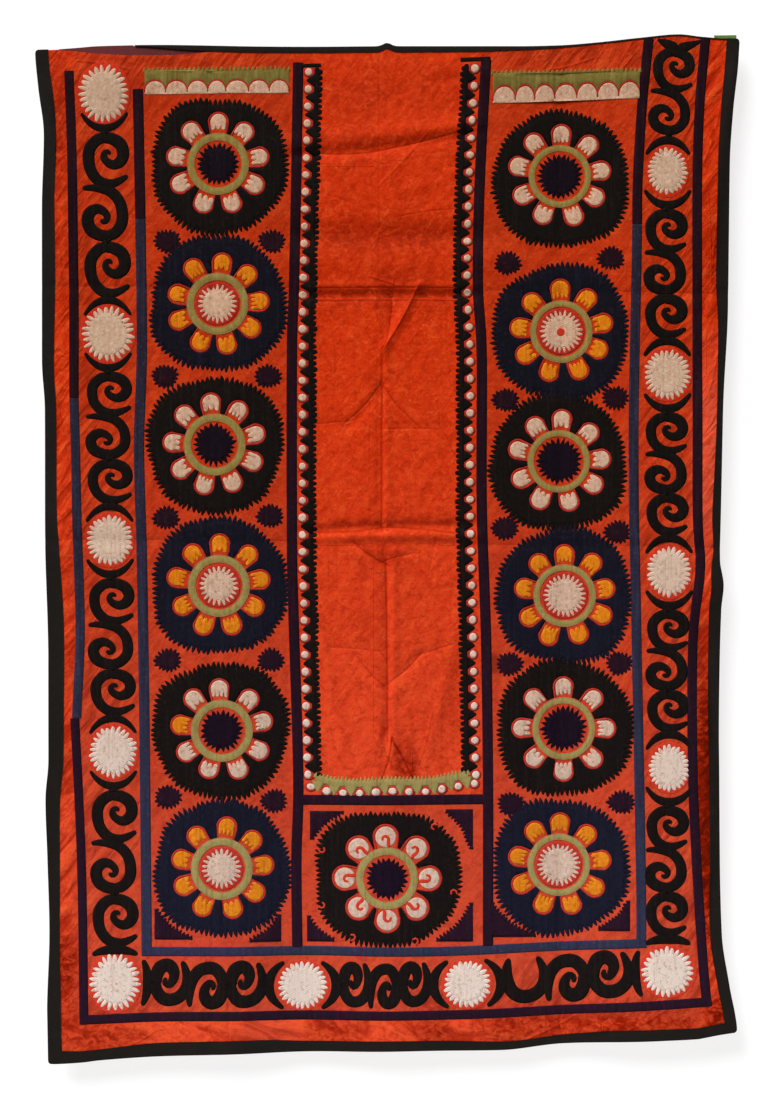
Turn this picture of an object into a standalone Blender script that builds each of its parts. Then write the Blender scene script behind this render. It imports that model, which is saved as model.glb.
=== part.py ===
# An embroidered wall hanging with an empty niche, hanging by its top edge.
# Units are metres, +Z is up and the front faces -Y. The origin is the middle of the top edge.

import math
from collections import namedtuple

import bpy

# Thicknesses, and the gap between one piece and the next
GROUND_THICKNESS = 0.0015
BINDING_THICKNESS = 0.0010
LINING_THICKNESS = 0.0010
GAP = 0.0003

# How far each binding's folded edge is filled with its own turnings
SIDE_ROLL = 0.0057
TOP_ROLL = 0.0010

# Corners and the pulled-up point where the top edge is held
CORNER_RADIUS = 0.009
PEAK_HEIGHT = 0.007
PEAK_REACH = 0.011
PEAK_X = -0.001

# Where the linings show, and how far they and the back of the top binding reach down
CRIMSON_INSET = 0.049
CRIMSON_END = -0.362
TOP_BINDING_START = -0.520
GREEN_INSET = 0.052
GREEN_RISE = 0.007
TOP_TURNING = 0.040
HEM_LINE = 0.060
WINDOW_LINE_DROP = 0.004
WINDOW_LINE_RUN = 0.10

# A fold's ends fade out over this many of its half widths
FOLD_END_FADE = 2.5
# Rounds in which a grid point's two places settle against each other
PLACING_ROUNDS = 6

# The outline down each side: drop below the top edge, and place across
SIDE_POINT = namedtuple("SIDE_POINT", "drop x")
LEFT_SIDE = [SIDE_POINT(*row) for row in (
    (0.006, -0.726), (0.079, -0.720), (0.182, -0.708), (0.337, -0.712), (0.646, -0.712),
    (0.749, -0.706), (1.006, -0.7055), (1.264, -0.699), (1.470, -0.699), (1.552, -0.705),
    (1.676, -0.701), (1.830, -0.697), (1.985, -0.701), (2.096, -0.699))]
RIGHT_SIDE = [SIDE_POINT(*row) for row in (
    (-0.018, 0.7255), (0.028, 0.723), (0.131, 0.712), (0.234, 0.7055), (0.388, 0.7035),
    (0.543, 0.7015), (0.749, 0.691), (0.955, 0.687), (1.058, 0.685), (1.109, 0.692),
    (1.161, 0.687), (1.418, 0.683), (1.676, 0.685), (1.830, 0.689), (1.933, 0.7035),
    (2.032, 0.7190))]

# The outline along the top and the bottom: place across, and height
LEVEL_POINT = namedtuple("LEVEL_POINT", "x z")
TOP_SIDE = [LEVEL_POINT(*row) for row in (
    (-0.726, -0.006), (-0.675, -0.005), (-0.592, 0.001), (-0.469, 0.003), (-0.263, 0.000),
    (0.273, 0.001), (0.355, 0.003), (0.438, 0.009), (0.520, 0.0175), (0.6025, 0.025),
    (0.644, 0.0205), (0.677, 0.017), (0.7255, 0.0175))]
BOTTOM_SIDE = [LEVEL_POINT(*row) for row in (
    (-0.699, -2.096), (-0.634, -2.093), (-0.592, -2.088), (-0.469, -2.080), (-0.263, -2.0735),
    (0.026, -2.069), (0.232, -2.067), (0.355, -2.055), (0.438, -2.051), (0.561, -2.0465),
    (0.644, -2.0425), (0.685, -2.034), (0.719, -2.030))]

# The raw top edge of the ground where it sags away from the binding and shows the crimson
WINDOW_EDGE = [LEVEL_POINT(*row) for row in (
    (-0.690, -0.007), (-0.654, -0.009), (-0.623, -0.0125), (-0.592, -0.0155), (-0.530, -0.0185),
    (-0.448, -0.0180), (-0.396, -0.0145), (-0.362, -0.0115))]

# How wide the front leaf of each binding is
LEAF_WIDTH = namedtuple("LEAF_WIDTH", "at width")
LEFT_LEAF = [LEAF_WIDTH(*row) for row in (
    (0.030, 0.027), (0.100, 0.029), (0.175, 0.025), (0.460, 0.027), (0.750, 0.023),
    (0.965, 0.025), (1.037, 0.029), (1.181, 0.033), (1.540, 0.030), (1.690, 0.025),
    (1.830, 0.021), (1.975, 0.028), (2.096, 0.029))]
RIGHT_LEAF = [LEAF_WIDTH(*row) for row in (
    (0.030, 0.027), (0.175, 0.025), (0.460, 0.026), (0.605, 0.018), (0.750, 0.013),
    (0.890, 0.016), (0.965, 0.018), (1.037, 0.014), (1.109, 0.026), (1.253, 0.024),
    (1.685, 0.021), (1.760, 0.024), (1.975, 0.025), (2.032, 0.025))]
TOP_LEAF = [LEAF_WIDTH(*row) for row in (
    (-0.520, 0.0025), (-0.480, 0.005), (-0.415, 0.010), (-0.300, 0.0125), (0.100, 0.0125),
    (0.190, 0.011), (0.280, 0.008), (0.360, 0.005), (0.440, 0.0032), (0.700, 0.0030))]
BOTTOM_LEAF = [LEAF_WIDTH(*row) for row in (
    (-0.690, 0.027), (-0.600, 0.023), (-0.470, 0.028), (-0.260, 0.027), (-0.160, 0.022),
    (0.100, 0.021), (0.300, 0.017), (0.410, 0.021), (0.460, 0.024), (0.700, 0.023))]

# Creases and soft folds. Each runs between two points, bowed aside by bend at its middle,
# and stands up (height above 0) or sinks in (below 0).
FOLD = namedtuple("FOLD", "x_from z_from x_to z_to half_width height bend")
FOLDS = [FOLD(*row) for row in (
    # storage creases down the whole cloth
    (-0.362, -0.030, -0.362, -2.050, 0.010, -0.0020, 0.000),
    (0.357, -0.030, 0.357, -2.030, 0.010, -0.0020, 0.000),
    # the first sagging fold, low in the middle, and the roll above it
    (-0.175, -0.222, 0.170, -0.178, 0.011, -0.0045, -0.008),
    (-0.185, -0.197, 0.175, -0.158, 0.020, 0.0035, -0.006),
    # the broad hollow below it
    (-0.180, -0.385, 0.180, -0.390, 0.024, -0.0050, 0.000),
    (-0.180, -0.440, 0.180, -0.440, 0.026, 0.0030, 0.000),
    # the upper cross crease, sharp in the niche and faint to both sides
    (-0.165, -0.4955, 0.160, -0.4955, 0.009, 0.0035, 0.000),
    (-0.165, -0.5140, 0.160, -0.5140, 0.011, -0.0045, 0.000),
    (-0.690, -0.4940, 0.700, -0.5100, 0.012, -0.0020, 0.000),
    # the pucker that hangs from it
    (0.061, -0.4975, -0.005, -0.6210, 0.010, 0.0055, 0.000),
    (-0.028, -0.5200, -0.008, -0.6190, 0.008, 0.0030, 0.000),
    (0.010, -0.5150, 0.008, -0.5700, 0.009, -0.0040, 0.000),
    # the middle crease, upper part
    (-0.0155, -0.610, -0.0155, -0.990, 0.008, -0.0035, 0.000),
    (-0.0030, -0.610, -0.0030, -0.990, 0.009, 0.0025, 0.000),
    # the tent-shaped fold astride it
    (-0.011, -0.7035, -0.077, -0.7775, 0.009, -0.0035, 0.005),
    (-0.011, -0.7035, 0.046, -0.7820, 0.009, -0.0035, -0.005),
    (-0.077, -0.7775, -0.139, -0.7780, 0.008, -0.0025, 0.000),
    (0.010, -0.7840, 0.092, -0.7880, 0.008, -0.0025, 0.000),
    # the lower cross crease
    (-0.160, -1.0000, 0.160, -0.9880, 0.010, -0.0055, 0.006),
    (-0.160, -1.0150, 0.160, -1.0080, 0.011, 0.0045, 0.004),
    (-0.690, -1.0165, 0.690, -1.0330, 0.012, -0.0022, 0.000),
    # the small pucker under it
    (-0.063, -1.027, -0.009, -1.064, 0.008, -0.0040, -0.004),
    (0.001, -1.058, 0.046, -1.0435, 0.008, -0.0030, 0.000),
    # the middle crease, lower part, and the fork it ends in
    (-0.003, -1.050, -0.002, -1.425, 0.008, -0.0045, 0.002),
    (0.010, -1.050, 0.010, -1.425, 0.010, 0.0030, 0.002),
    (-0.003, -1.415, -0.012, -1.530, 0.008, -0.0030, 0.000),
    (0.001, -1.410, 0.059, -1.530, 0.009, -0.0055, 0.000),
    (0.006, -1.440, 0.022, -1.530, 0.010, 0.0030, 0.000),
    # the second tent
    (-0.057, -1.264, -0.009, -1.315, 0.009, -0.0030, -0.004),
    (0.011, -1.305, 0.067, -1.2535, 0.009, -0.0030, -0.004),
    (-0.104, -1.239, -0.026, -1.245, 0.008, -0.0022, 0.000),
    (0.067, -1.2535, 0.129, -1.233, 0.008, -0.0022, 0.000),
    # long soft folds that close in on the foot of the niche
    (-0.139, -1.180, -0.0875, -1.440, 0.013, 0.0030, -0.006),
    (0.139, -1.180, 0.083, -1.450, 0.013, 0.0030, 0.006),
    # folds in the two side margins and in the corners
    (-0.700, -0.120, -0.655, -0.420, 0.014, 0.0050, 0.004),
    (-0.668, -0.900, -0.648, -1.120, 0.013, 0.0050, 0.000),
    (0.712, -0.060, 0.665, -0.430, 0.014, 0.0055, -0.004),
    (0.662, -0.700, 0.640, -1.000, 0.014, 0.0060, 0.005),
    (0.640, -1.150, 0.672, -1.420, 0.014, -0.0055, 0.005),
    (0.130, -0.040, 0.560, -0.055, 0.020, 0.0040, -0.020),
    (0.200, -1.060, 0.350, -1.560, 0.020, 0.0035, 0.020),
)]

# Broad rounded swellings of the cloth
SWELL = namedtuple("SWELL", "x z x_reach z_reach height")
SWELLS = [SWELL(*row) for row in (
    (0.655, -0.800, 0.050, 0.130, 0.008),
    (0.660, -1.130, 0.045, 0.070, 0.010),
    (0.650, -1.480, 0.045, 0.170, 0.007),
    (-0.650, -0.360, 0.045, 0.200, 0.006),
    (-0.650, -0.980, 0.040, 0.080, 0.007),
    (-0.645, -1.320, 0.040, 0.130, 0.006),
    (-0.040, -0.300, 0.100, 0.090, 0.004),
    (-0.560, -0.060, 0.110, 0.060, 0.007),
    (0.690, -2.010, 0.110, 0.140, 0.016),
    (-0.690, -2.060, 0.090, 0.160, 0.009),
)]

# Waves that grow down the cloth and are strongest at the hem
WAVE = namedtuple("WAVE", "length shift top_height hem_height")
WAVES = [WAVE(*row) for row in (
    (0.460, 0.07, 0.0020, 0.0060),
    (0.275, -0.03, 0.0008, 0.0040),
)]
CLOTH_DROP = 2.07

# Grid lines across, where the cloth's creases need them
COLUMN_PLACES = (
    -0.605, -0.565, TOP_BINDING_START, -0.468, -0.415, -0.376, CRIMSON_END, -0.348, -0.305,
    -0.258, -0.212, -0.172, -0.139, -0.105, -0.077, -0.048, -0.028, -0.0155, -0.003, 0.010,
    0.030, 0.055, 0.085, 0.115, 0.145, 0.180, 0.220, 0.268, 0.313, 0.344, 0.357, 0.370, 0.415,
    0.468, 0.520, 0.570, 0.618)
# Grid lines down
ROW_PLACES = (
    -0.080, -0.120, -0.158, -0.190, -0.212, -0.232, -0.262, -0.305, -0.345, -0.387, -0.430,
    -0.470, -0.4955, -0.514, -0.545, -0.585, -0.622, -0.665, -0.704, -0.742, -0.781, -0.820,
    -0.870, -0.920, -0.965, -0.995, -1.0115, -1.035, -1.064, -1.110, -1.160, -1.205, -1.245,
    -1.280, -1.315, -1.365, -1.415, -1.465, -1.520, -1.580, -1.640, -1.700, -1.760, -1.820,
    -1.880, -1.935)

GROUND_RED = (0.56, 0.035, 0.006)
BINDING_BLACK = (0.012, 0.009, 0.007)
CRIMSON = (0.20, 0.008, 0.010)
GREEN = (0.10, 0.21, 0.03)


def smooth_read(table, at):
    # The table's value at a place, on a curve that never overshoots its points
    if at <= table[0][0]:
        return table[0][1]
    if at >= table[-1][0]:
        return table[-1][1]
    low = max(n for n in range(len(table) - 1) if table[n][0] <= at)
    x0, y0 = table[low]
    x1, y1 = table[low + 1]
    span = x1 - x0
    chord = (y1 - y0) / span

    def slope(n):
        if n == 0 or n == len(table) - 1:
            return 0.0
        before = (table[n][1] - table[n - 1][1]) / (table[n][0] - table[n - 1][0])
        after = (table[n + 1][1] - table[n][1]) / (table[n + 1][0] - table[n][0])
        if before * after <= 0.0:
            return 0.0
        return 2.0 * before * after / (before + after)

    start = slope(low)
    end = slope(low + 1)
    t = (at - x0) / span
    bow = t * (1.0 - t) * span
    return y0 + chord * t * span + bow * ((start - chord) * (1.0 - t) - (end - chord) * t)


def fold_height(fold, x, z):
    # A soft ridge or trough along a bowed line, fading out past its two ends
    run_x = fold.x_to - fold.x_from
    run_z = fold.z_to - fold.z_from
    length = math.hypot(run_x, run_z)
    along = ((x - fold.x_from) * run_x + (z - fold.z_from) * run_z) / length
    aside = ((z - fold.z_from) * run_x - (x - fold.x_from) * run_z) / length
    t = min(max(along / length, 0.0), 1.0)
    past = along - t * length
    aside -= fold.bend * 4.0 * t * (1.0 - t)
    fade = math.exp(-(past / (FOLD_END_FADE * fold.half_width)) ** 2)
    return fold.height * fade * math.exp(-(aside / fold.half_width) ** 2)


def relief(x, z):
    # How far the cloth stands forward of the plane y = 0
    height = sum(fold_height(fold, x, z) for fold in FOLDS)
    for swell in SWELLS:
        across = (x - swell.x) / swell.x_reach
        down = (z - swell.z) / swell.z_reach
        height += swell.height * math.exp(-across * across - down * down)
    depth = min(max(-z / CLOTH_DROP, 0.0), 1.0)
    for wave in WAVES:
        size = wave.top_height + (wave.hem_height - wave.top_height) * depth ** 3
        height += size * math.cos(2.0 * math.pi * (x - wave.shift) / wave.length)
    return height


def left_edge(z):
    return smooth_read(LEFT_SIDE, -z)


def right_edge(z):
    return smooth_read(RIGHT_SIDE, -z)


def top_edge(x):
    peak = PEAK_HEIGHT * math.exp(-((x - PEAK_X) / PEAK_REACH) ** 2)
    return smooth_read(TOP_SIDE, x) + peak


def bottom_edge(x):
    return smooth_read(BOTTOM_SIDE, x)


def left_leaf(z):
    return smooth_read(LEFT_LEAF, -z)


def right_leaf(z):
    return smooth_read(RIGHT_LEAF, -z)


def top_leaf(x):
    return smooth_read(TOP_LEAF, x)


def bottom_leaf(x):
    return smooth_read(BOTTOM_LEAF, x)


# A grid line lies at a fixed place, or at an inset from one edge that can vary along it
LINE = namedtuple("LINE", "edge inset")


def fixed(place):
    return LINE("none", lambda along: place)


def inset(edge, distance):
    return LINE(edge, distance if callable(distance) else lambda along: distance)


def grid_columns():
    columns = {"left_outer": inset("left", 0.0)}
    columns["left_roll"] = inset("left", SIDE_ROLL)
    columns["left_raw"] = inset("left", SIDE_ROLL + GAP)
    columns["left_leaf"] = inset("left", left_leaf)
    columns["left_butt"] = inset("left", lambda z: left_leaf(z) + GAP)
    columns["crimson_start"] = inset("left", CRIMSON_INSET)
    for place in COLUMN_PLACES:
        columns[place] = fixed(place)
    columns["green_start"] = inset("right", GREEN_INSET)
    columns["right_butt"] = inset("right", lambda z: right_leaf(z) + GAP)
    columns["right_leaf"] = inset("right", right_leaf)
    columns["right_raw"] = inset("right", SIDE_ROLL + GAP)
    columns["right_roll"] = inset("right", SIDE_ROLL)
    columns["right_outer"] = inset("right", 0.0)
    return columns


def window_inset(x):
    # Below the leaf of the top binding everywhere, and at the sagging raw edge in the window
    if x <= CRIMSON_END:
        return max(top_edge(x) - smooth_read(WINDOW_EDGE, x), TOP_ROLL + 2.0 * GAP)
    run = min((x - CRIMSON_END) / WINDOW_LINE_RUN, 1.0)
    return top_leaf(x) + GAP + WINDOW_LINE_DROP * run


def grid_rows():
    rows = {"rise": inset("top", -GREEN_RISE)}
    rows["top_outer"] = inset("top", 0.0)
    rows["top_roll"] = inset("top", TOP_ROLL)
    rows["top_raw"] = inset("top", TOP_ROLL + GAP)
    rows["top_leaf"] = inset("top", top_leaf)
    rows["window"] = inset("top", window_inset)
    rows["top_turning"] = inset("top", TOP_TURNING)
    for place in ROW_PLACES:
        rows[place] = fixed(place)
    rows["hem_line"] = inset("bottom", HEM_LINE)
    rows["bottom_leaf"] = inset("bottom", bottom_leaf)
    rows["bottom_raw"] = inset("bottom", SIDE_ROLL + GAP)
    rows["bottom_roll"] = inset("bottom", SIDE_ROLL)
    rows["bottom_outer"] = inset("bottom", 0.0)
    return rows


COLUMNS = grid_columns()
ROWS = grid_rows()
COLUMN_NUMBER = {name: number for number, name in enumerate(COLUMNS)}
ROW_NUMBER = {name: number for number, name in enumerate(ROWS)}


def place_across(line, z):
    if line.edge == "left":
        return left_edge(z) + line.inset(z)
    if line.edge == "right":
        return right_edge(z) - line.inset(z)
    return line.inset(z)


def place_down(line, x):
    if line.edge == "top":
        return top_edge(x) - line.inset(x)
    if line.edge == "bottom":
        return bottom_edge(x) + line.inset(x)
    return line.inset(x)


def round_corner(column, row, x, z):
    # Pull the points near an outer corner in onto a quarter circle
    if column.edge == "none" or row.edge == "none":
        return x, z
    from_side = column.inset(z)
    from_end = row.inset(x)
    if min(from_side, from_end) < 0.0 or max(from_side, from_end) >= CORNER_RADIUS:
        return x, z
    p = CORNER_RADIUS - from_side
    q = CORNER_RADIUS - from_end
    pull = 1.0 - max(p, q) / math.hypot(p, q)
    inward_x = p * pull if column.edge == "left" else -p * pull
    inward_z = -q * pull if row.edge == "top" else q * pull
    return x + inward_x, z + inward_z


def grid_point(column, row):
    x = 0.0
    z = place_down(row, x)
    for _ in range(PLACING_ROUNDS):
        x = place_across(column, z)
        z = place_down(row, x)
    return round_corner(column, row, x, z)


POINTS = {(i, j): grid_point(column, row)
          for i, column in enumerate(COLUMNS.values())
          for j, row in enumerate(ROWS.values())}
HEIGHTS = {key: relief(*point) for key, point in POINTS.items()}

# Layers through the cloth, as offsets behind its middle surface
GROUND_FRONT = -GROUND_THICKNESS / 2.0
GROUND_BACK = GROUND_THICKNESS / 2.0
FRONT_LEAF_INNER = GROUND_FRONT - GAP
FRONT_LEAF_OUTER = FRONT_LEAF_INNER - BINDING_THICKNESS
BACK_LEAF_INNER = GROUND_BACK + GAP
BACK_LEAF_OUTER = BACK_LEAF_INNER + BINDING_THICKNESS
BINDING_LEVELS = (FRONT_LEAF_OUTER, FRONT_LEAF_INNER, BACK_LEAF_INNER, BACK_LEAF_OUTER)
FRONT_LEAF, BETWEEN, BACK_LEAF = range(3)
CRIMSON_LEVELS = (GROUND_BACK + GAP, GROUND_BACK + GAP + LINING_THICKNESS)
GREEN_LEVELS = (BACK_LEAF_OUTER + GAP, BACK_LEAF_OUTER + GAP + LINING_THICKNESS)


def cells(columns, rows, layers):
    # The cells between two named columns, between two named rows, in the given layers
    across = range(COLUMN_NUMBER[columns[0]], COLUMN_NUMBER[columns[1]])
    down = range(ROW_NUMBER[rows[0]], ROW_NUMBER[rows[1]])
    return {(i, j, k) for i in across for j in down for k in layers}


CRIMSON_CELLS = (cells(("crimson_start", TOP_BINDING_START), ("top_outer", "top_turning"), (0,))
                 | cells((TOP_BINDING_START, CRIMSON_END), ("top_raw", "top_turning"), (0,)))
CRIMSON_POINTS = {(i + a, j + b) for i, j, _ in CRIMSON_CELLS for a in (0, 1) for b in (0, 1)}


def solid_point(key, levels, makes_room):
    i, j, k = key
    x, z = POINTS[i, j]
    offset = levels[k]
    if makes_room and k >= 2 and (i, j) in CRIMSON_POINTS:
        offset += LINING_THICKNESS + GAP
    return x, offset - HEIGHTS[i, j], z


def solid_faces(filled):
    # Every face between a filled cell and an empty one, split the same way on each layer
    faces = []
    sides = (
        ((-1, 0, 0), ((0, 0, 0), (0, 1, 0), (0, 1, 1), (0, 0, 1))),
        ((1, 0, 0), ((1, 0, 0), (1, 0, 1), (1, 1, 1), (1, 1, 0))),
        ((0, -1, 0), ((0, 0, 0), (0, 0, 1), (1, 0, 1), (1, 0, 0))),
        ((0, 1, 0), ((0, 1, 0), (1, 1, 0), (1, 1, 1), (0, 1, 1))),
        ((0, 0, -1), ((0, 0, 0), (1, 0, 0), (1, 1, 0), (0, 1, 0))),
        ((0, 0, 1), ((0, 0, 1), (0, 1, 1), (1, 1, 1), (1, 0, 1))),
    )
    for cell in sorted(filled):
        for step, corners in sides:
            neighbour = tuple(a + b for a, b in zip(cell, step))
            if neighbour in filled:
                continue
            a, b, c, d = (tuple(p + q for p, q in zip(cell, corner)) for corner in corners)
            faces.append((c, b, a))
            faces.append((d, c, a))
    return faces


def build_solid(name, filled, levels, material, makes_room=False):
    faces = solid_faces(filled)
    keys = sorted({key for face in faces for key in face})
    number = {key: n for n, key in enumerate(keys)}
    mesh = bpy.data.meshes.new(name)
    points = [solid_point(key, levels, makes_room) for key in keys]
    mesh.from_pydata(points, [], [[number[key] for key in face] for face in faces])
    mesh.update()
    mesh.materials.append(material)
    piece = bpy.data.objects.new(name, mesh)
    bpy.context.scene.collection.objects.link(piece)
    return piece


def cloth_material(name, colour, roughness, sheen):
    material = bpy.data.materials.new(name)
    material.use_nodes = True
    shader = material.node_tree.nodes["Principled BSDF"]
    shader.inputs["Base Color"].default_value = (*colour, 1.0)
    shader.inputs["Roughness"].default_value = roughness
    shader.inputs["Metallic"].default_value = 0.0
    shader.inputs["Sheen Weight"].default_value = sheen
    return material


def make_ground_cloth():
    window = cells(("crimson_start", CRIMSON_END), ("top_raw", "window"), (0,))
    whole = cells(("left_raw", "right_raw"), ("top_raw", "bottom_raw"), (0,))
    satin = cloth_material("red_satin", GROUND_RED, 0.42, 0.3)
    build_solid("ground_cloth", whole - window, (GROUND_FRONT, GROUND_BACK), satin)


def make_side_binding(name, outer, roll, leaf, material):
    # Two leaves joined by a filled roll down the edge, closed over both ends of the cloth
    columns = sorted((outer, leaf), key=COLUMN_NUMBER.get)
    rim = sorted((outer, roll), key=COLUMN_NUMBER.get)
    rows = ("top_outer", "bottom_outer")
    filled = cells(columns, rows, (FRONT_LEAF, BACK_LEAF))
    filled |= cells(rim, rows, (BETWEEN,))
    filled |= cells(columns, ("top_outer", "top_roll"), (BETWEEN,))
    filled |= cells(columns, ("bottom_roll", "bottom_outer"), (BETWEEN,))
    build_solid(name, filled, BINDING_LEVELS, material)


def make_top_binding(material):
    # Narrow in front and turned well over to the back
    columns = (TOP_BINDING_START, "right_butt")
    filled = cells(columns, ("top_outer", "top_leaf"), (FRONT_LEAF,))
    filled |= cells(columns, ("top_outer", "top_roll"), (BETWEEN,))
    filled |= cells(columns, ("top_outer", "top_turning"), (BACK_LEAF,))
    build_solid("binding_top", filled, BINDING_LEVELS, material, makes_room=True)


def make_bottom_binding(material):
    columns = ("left_butt", "right_butt")
    filled = cells(columns, ("bottom_leaf", "bottom_outer"), (FRONT_LEAF, BACK_LEAF))
    filled |= cells(columns, ("bottom_roll", "bottom_outer"), (BETWEEN,))
    build_solid("binding_bottom", filled, BINDING_LEVELS, material)


def make_linings():
    crimson = cloth_material("crimson_cotton", CRIMSON, 0.8, 0.2)
    build_solid("lining_crimson", CRIMSON_CELLS, CRIMSON_LEVELS, crimson)
    green = cloth_material("green_cotton", GREEN, 0.8, 0.2)
    strip = cells(("green_start", "right_raw"), ("rise", "top_turning"), (0,))
    build_solid("lining_green", strip, GREEN_LEVELS, green)


def clear_scene():
    for thing in list(bpy.data.objects):
        bpy.data.objects.remove(thing)


def main():
    clear_scene()
    make_ground_cloth()
    black = cloth_material("black_binding", BINDING_BLACK, 0.75, 0.2)
    make_side_binding("binding_left", "left_outer", "left_roll", "left_leaf", black)
    make_side_binding("binding_right", "right_outer", "right_roll", "right_leaf", black)
    make_top_binding(black)
    make_bottom_binding(black)
    make_linings()


main()
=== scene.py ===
# A suzani: an embroidered satin wall hanging with an empty niche, held by its top edge.
# Metres, +Z up, the front faces -Y, and the origin is the middle of the top edge.
import math

import bpy
import numpy as np
from mathutils.geometry import delaunay_2d_cdt
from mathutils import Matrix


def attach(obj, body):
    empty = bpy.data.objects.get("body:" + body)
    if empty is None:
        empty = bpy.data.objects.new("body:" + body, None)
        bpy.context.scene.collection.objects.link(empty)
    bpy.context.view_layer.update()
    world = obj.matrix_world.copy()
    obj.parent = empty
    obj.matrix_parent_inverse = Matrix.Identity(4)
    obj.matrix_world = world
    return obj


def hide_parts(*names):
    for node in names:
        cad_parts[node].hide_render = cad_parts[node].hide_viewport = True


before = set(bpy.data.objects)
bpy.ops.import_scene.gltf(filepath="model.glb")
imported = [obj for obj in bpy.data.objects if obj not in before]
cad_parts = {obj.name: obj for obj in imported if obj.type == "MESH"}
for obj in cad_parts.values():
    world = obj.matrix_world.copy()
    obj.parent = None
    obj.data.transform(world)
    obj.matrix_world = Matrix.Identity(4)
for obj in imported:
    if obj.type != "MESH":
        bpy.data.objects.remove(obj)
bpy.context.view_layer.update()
tau = 2.0 * math.pi
seed = 11
dice = np.random.default_rng(seed)


# Shader sums and nodes

class Value:
    # a socket that sums can be written on; each sum adds its Math node
    def __init__(self, paint, socket):
        self.paint = paint
        self.socket = socket

    def maths(self, operation, *others):
        return self.paint.node("Math", {"operation": operation}, dict(enumerate((self, *others))))

    def __add__(self, other):
        return self.maths("ADD", other)

    def __sub__(self, other):
        return self.maths("SUBTRACT", other)

    def __rsub__(self, other):
        return self.paint.node("Math", {"operation": "SUBTRACT"}, {0: other, 1: self})

    def __mul__(self, other):
        return self.maths("MULTIPLY", other)

    def __pow__(self, other):
        return self.maths("POWER", other)

    __radd__ = __add__
    __rmul__ = __mul__

    def sine(self):
        return self.maths("SINE")

    def size(self):
        return self.maths("ABSOLUTE")

    def larger(self, other):
        return self.maths("MAXIMUM", other)

    def smoother(self, low, high):
        # 0 below low, 1 above high, and a soft step between
        return self.paint.node("MapRange", {"interpolation_type": "SMOOTHSTEP"},
                               {"Value": self, "From Min": low, "From Max": high}, "Result")

    def twin(self, output):
        return Value(self.paint, self.socket.node.outputs[output])


class Paint:
    def __init__(self, name):
        self.material = bpy.data.materials.new(name)
        self.material.use_nodes = True
        self.tree = self.material.node_tree
        self.shader = self.tree.nodes["Principled BSDF"]
        self.place = self.node("TexCoord", output="Object")
        self.x = self.node("SeparateXYZ", sockets={"Vector": self.place}, output="X")
        self.y = self.x.twin("Y")
        self.z = self.x.twin("Z")

    def node(self, kind, settings=None, sockets=None, output=0):
        made = self.tree.nodes.new("ShaderNode" + kind)
        for name, setting in (settings or {}).items():
            setattr(made, name, setting)
        for name, given in (sockets or {}).items():
            if isinstance(given, Value):
                self.tree.links.new(given.socket, made.inputs[name])
            else:
                made.inputs[name].default_value = given
        return Value(self, made.outputs[output])

    def stretched(self, x, y, z):
        # the piece's own coordinates, squeezed or stretched
        return self.node("Mapping", sockets={"Vector": self.place, "Scale": (x, y, z)})

    def slanted(self, angle, x, y, z):
        # the same, turned about Y first
        turned = self.node("Mapping", sockets={"Vector": self.place, "Rotation": (0.0, angle, 0.0)})
        return self.node("Mapping", sockets={"Vector": turned, "Scale": (x, y, z)})

    def stored(self, name, output="Fac"):
        # a number kept on the mesh's points
        return self.node("Attribute", {"attribute_name": name}, output=output)

    def noise(self, scale, detail=3.0, rough=0.5, place=None, lean=0.0):
        return self.node("TexNoise", sockets={
            "Vector": place or self.place, "Scale": scale, "Detail": detail,
            "Roughness": rough, "Distortion": lean})

    def mix(self, first, second, factor, blend="MIX"):
        settings = {"data_type": "RGBA", "blend_type": blend}
        return self.node("Mix", settings, {0: factor, 6: first, 7: second}, 2)

    def feed(self, name, given):
        if isinstance(given, Value):
            self.tree.links.new(given.socket, self.shader.inputs[name])
        else:
            self.shader.inputs[name].default_value = given

    def bump(self, height, distance):
        self.feed("Normal", self.node("Bump", sockets={"Height": height, "Distance": distance}))


def shade(red, green, blue):
    # a colour as a screen shows it, 0 to 255, as the light that it reflects
    def linear(level):
        level /= 255.0
        return level / 12.92 if level <= 0.04045 else ((level + 0.055) / 1.055) ** 2.4
    return linear(red), linear(green), linear(blue), 1.0


# Geometry nodes

class Recipe:
    # a geometry nodes tree with named inputs
    def __init__(self, name, **inputs):
        self.tree = bpy.data.node_groups.new(name, "GeometryNodeTree")
        face = self.tree.interface
        face.new_socket("Geometry", in_out="OUTPUT", socket_type="NodeSocketGeometry")
        face.new_socket("Geometry", in_out="INPUT", socket_type="NodeSocketGeometry")
        for label, kind in inputs.items():
            face.new_socket(label, in_out="INPUT", socket_type="NodeSocket" + kind)
        self.given = self.tree.nodes.new("NodeGroupInput").outputs

    def node(self, kind, settings=None, sockets=None, output=0):
        made = self.tree.nodes.new(kind)
        for name, setting in (settings or {}).items():
            setattr(made, name, setting)
        for name, value in (sockets or {}).items():
            if isinstance(value, bpy.types.NodeSocket):
                self.tree.links.new(value, made.inputs[name])
            else:
                made.inputs[name].default_value = value
        return made.outputs[output] if len(made.outputs) else made

    def end(self, geometry, finish):
        real = self.node("GeometryNodeRealizeInstances", sockets={"Geometry": geometry})
        painted = self.node("GeometryNodeSetMaterial",
                            sockets={"Geometry": real, "Material": finish})
        self.node("NodeGroupOutput", sockets={"Geometry": painted})

    def make(self, host, values):
        # the host's mesh as this tree leaves it
        modifier = host.modifiers.new("recipe", "NODES")
        modifier.node_group = self.tree
        for item in self.tree.interface.items_tree:
            if item.in_out == "INPUT" and item.name in values:
                modifier[item.identifier] = values[item.name]
        depsgraph = bpy.context.evaluated_depsgraph_get()
        mesh = bpy.data.meshes.new_from_object(host.evaluated_get(depsgraph), depsgraph=depsgraph)
        host.modifiers.remove(modifier)
        return mesh


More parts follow.
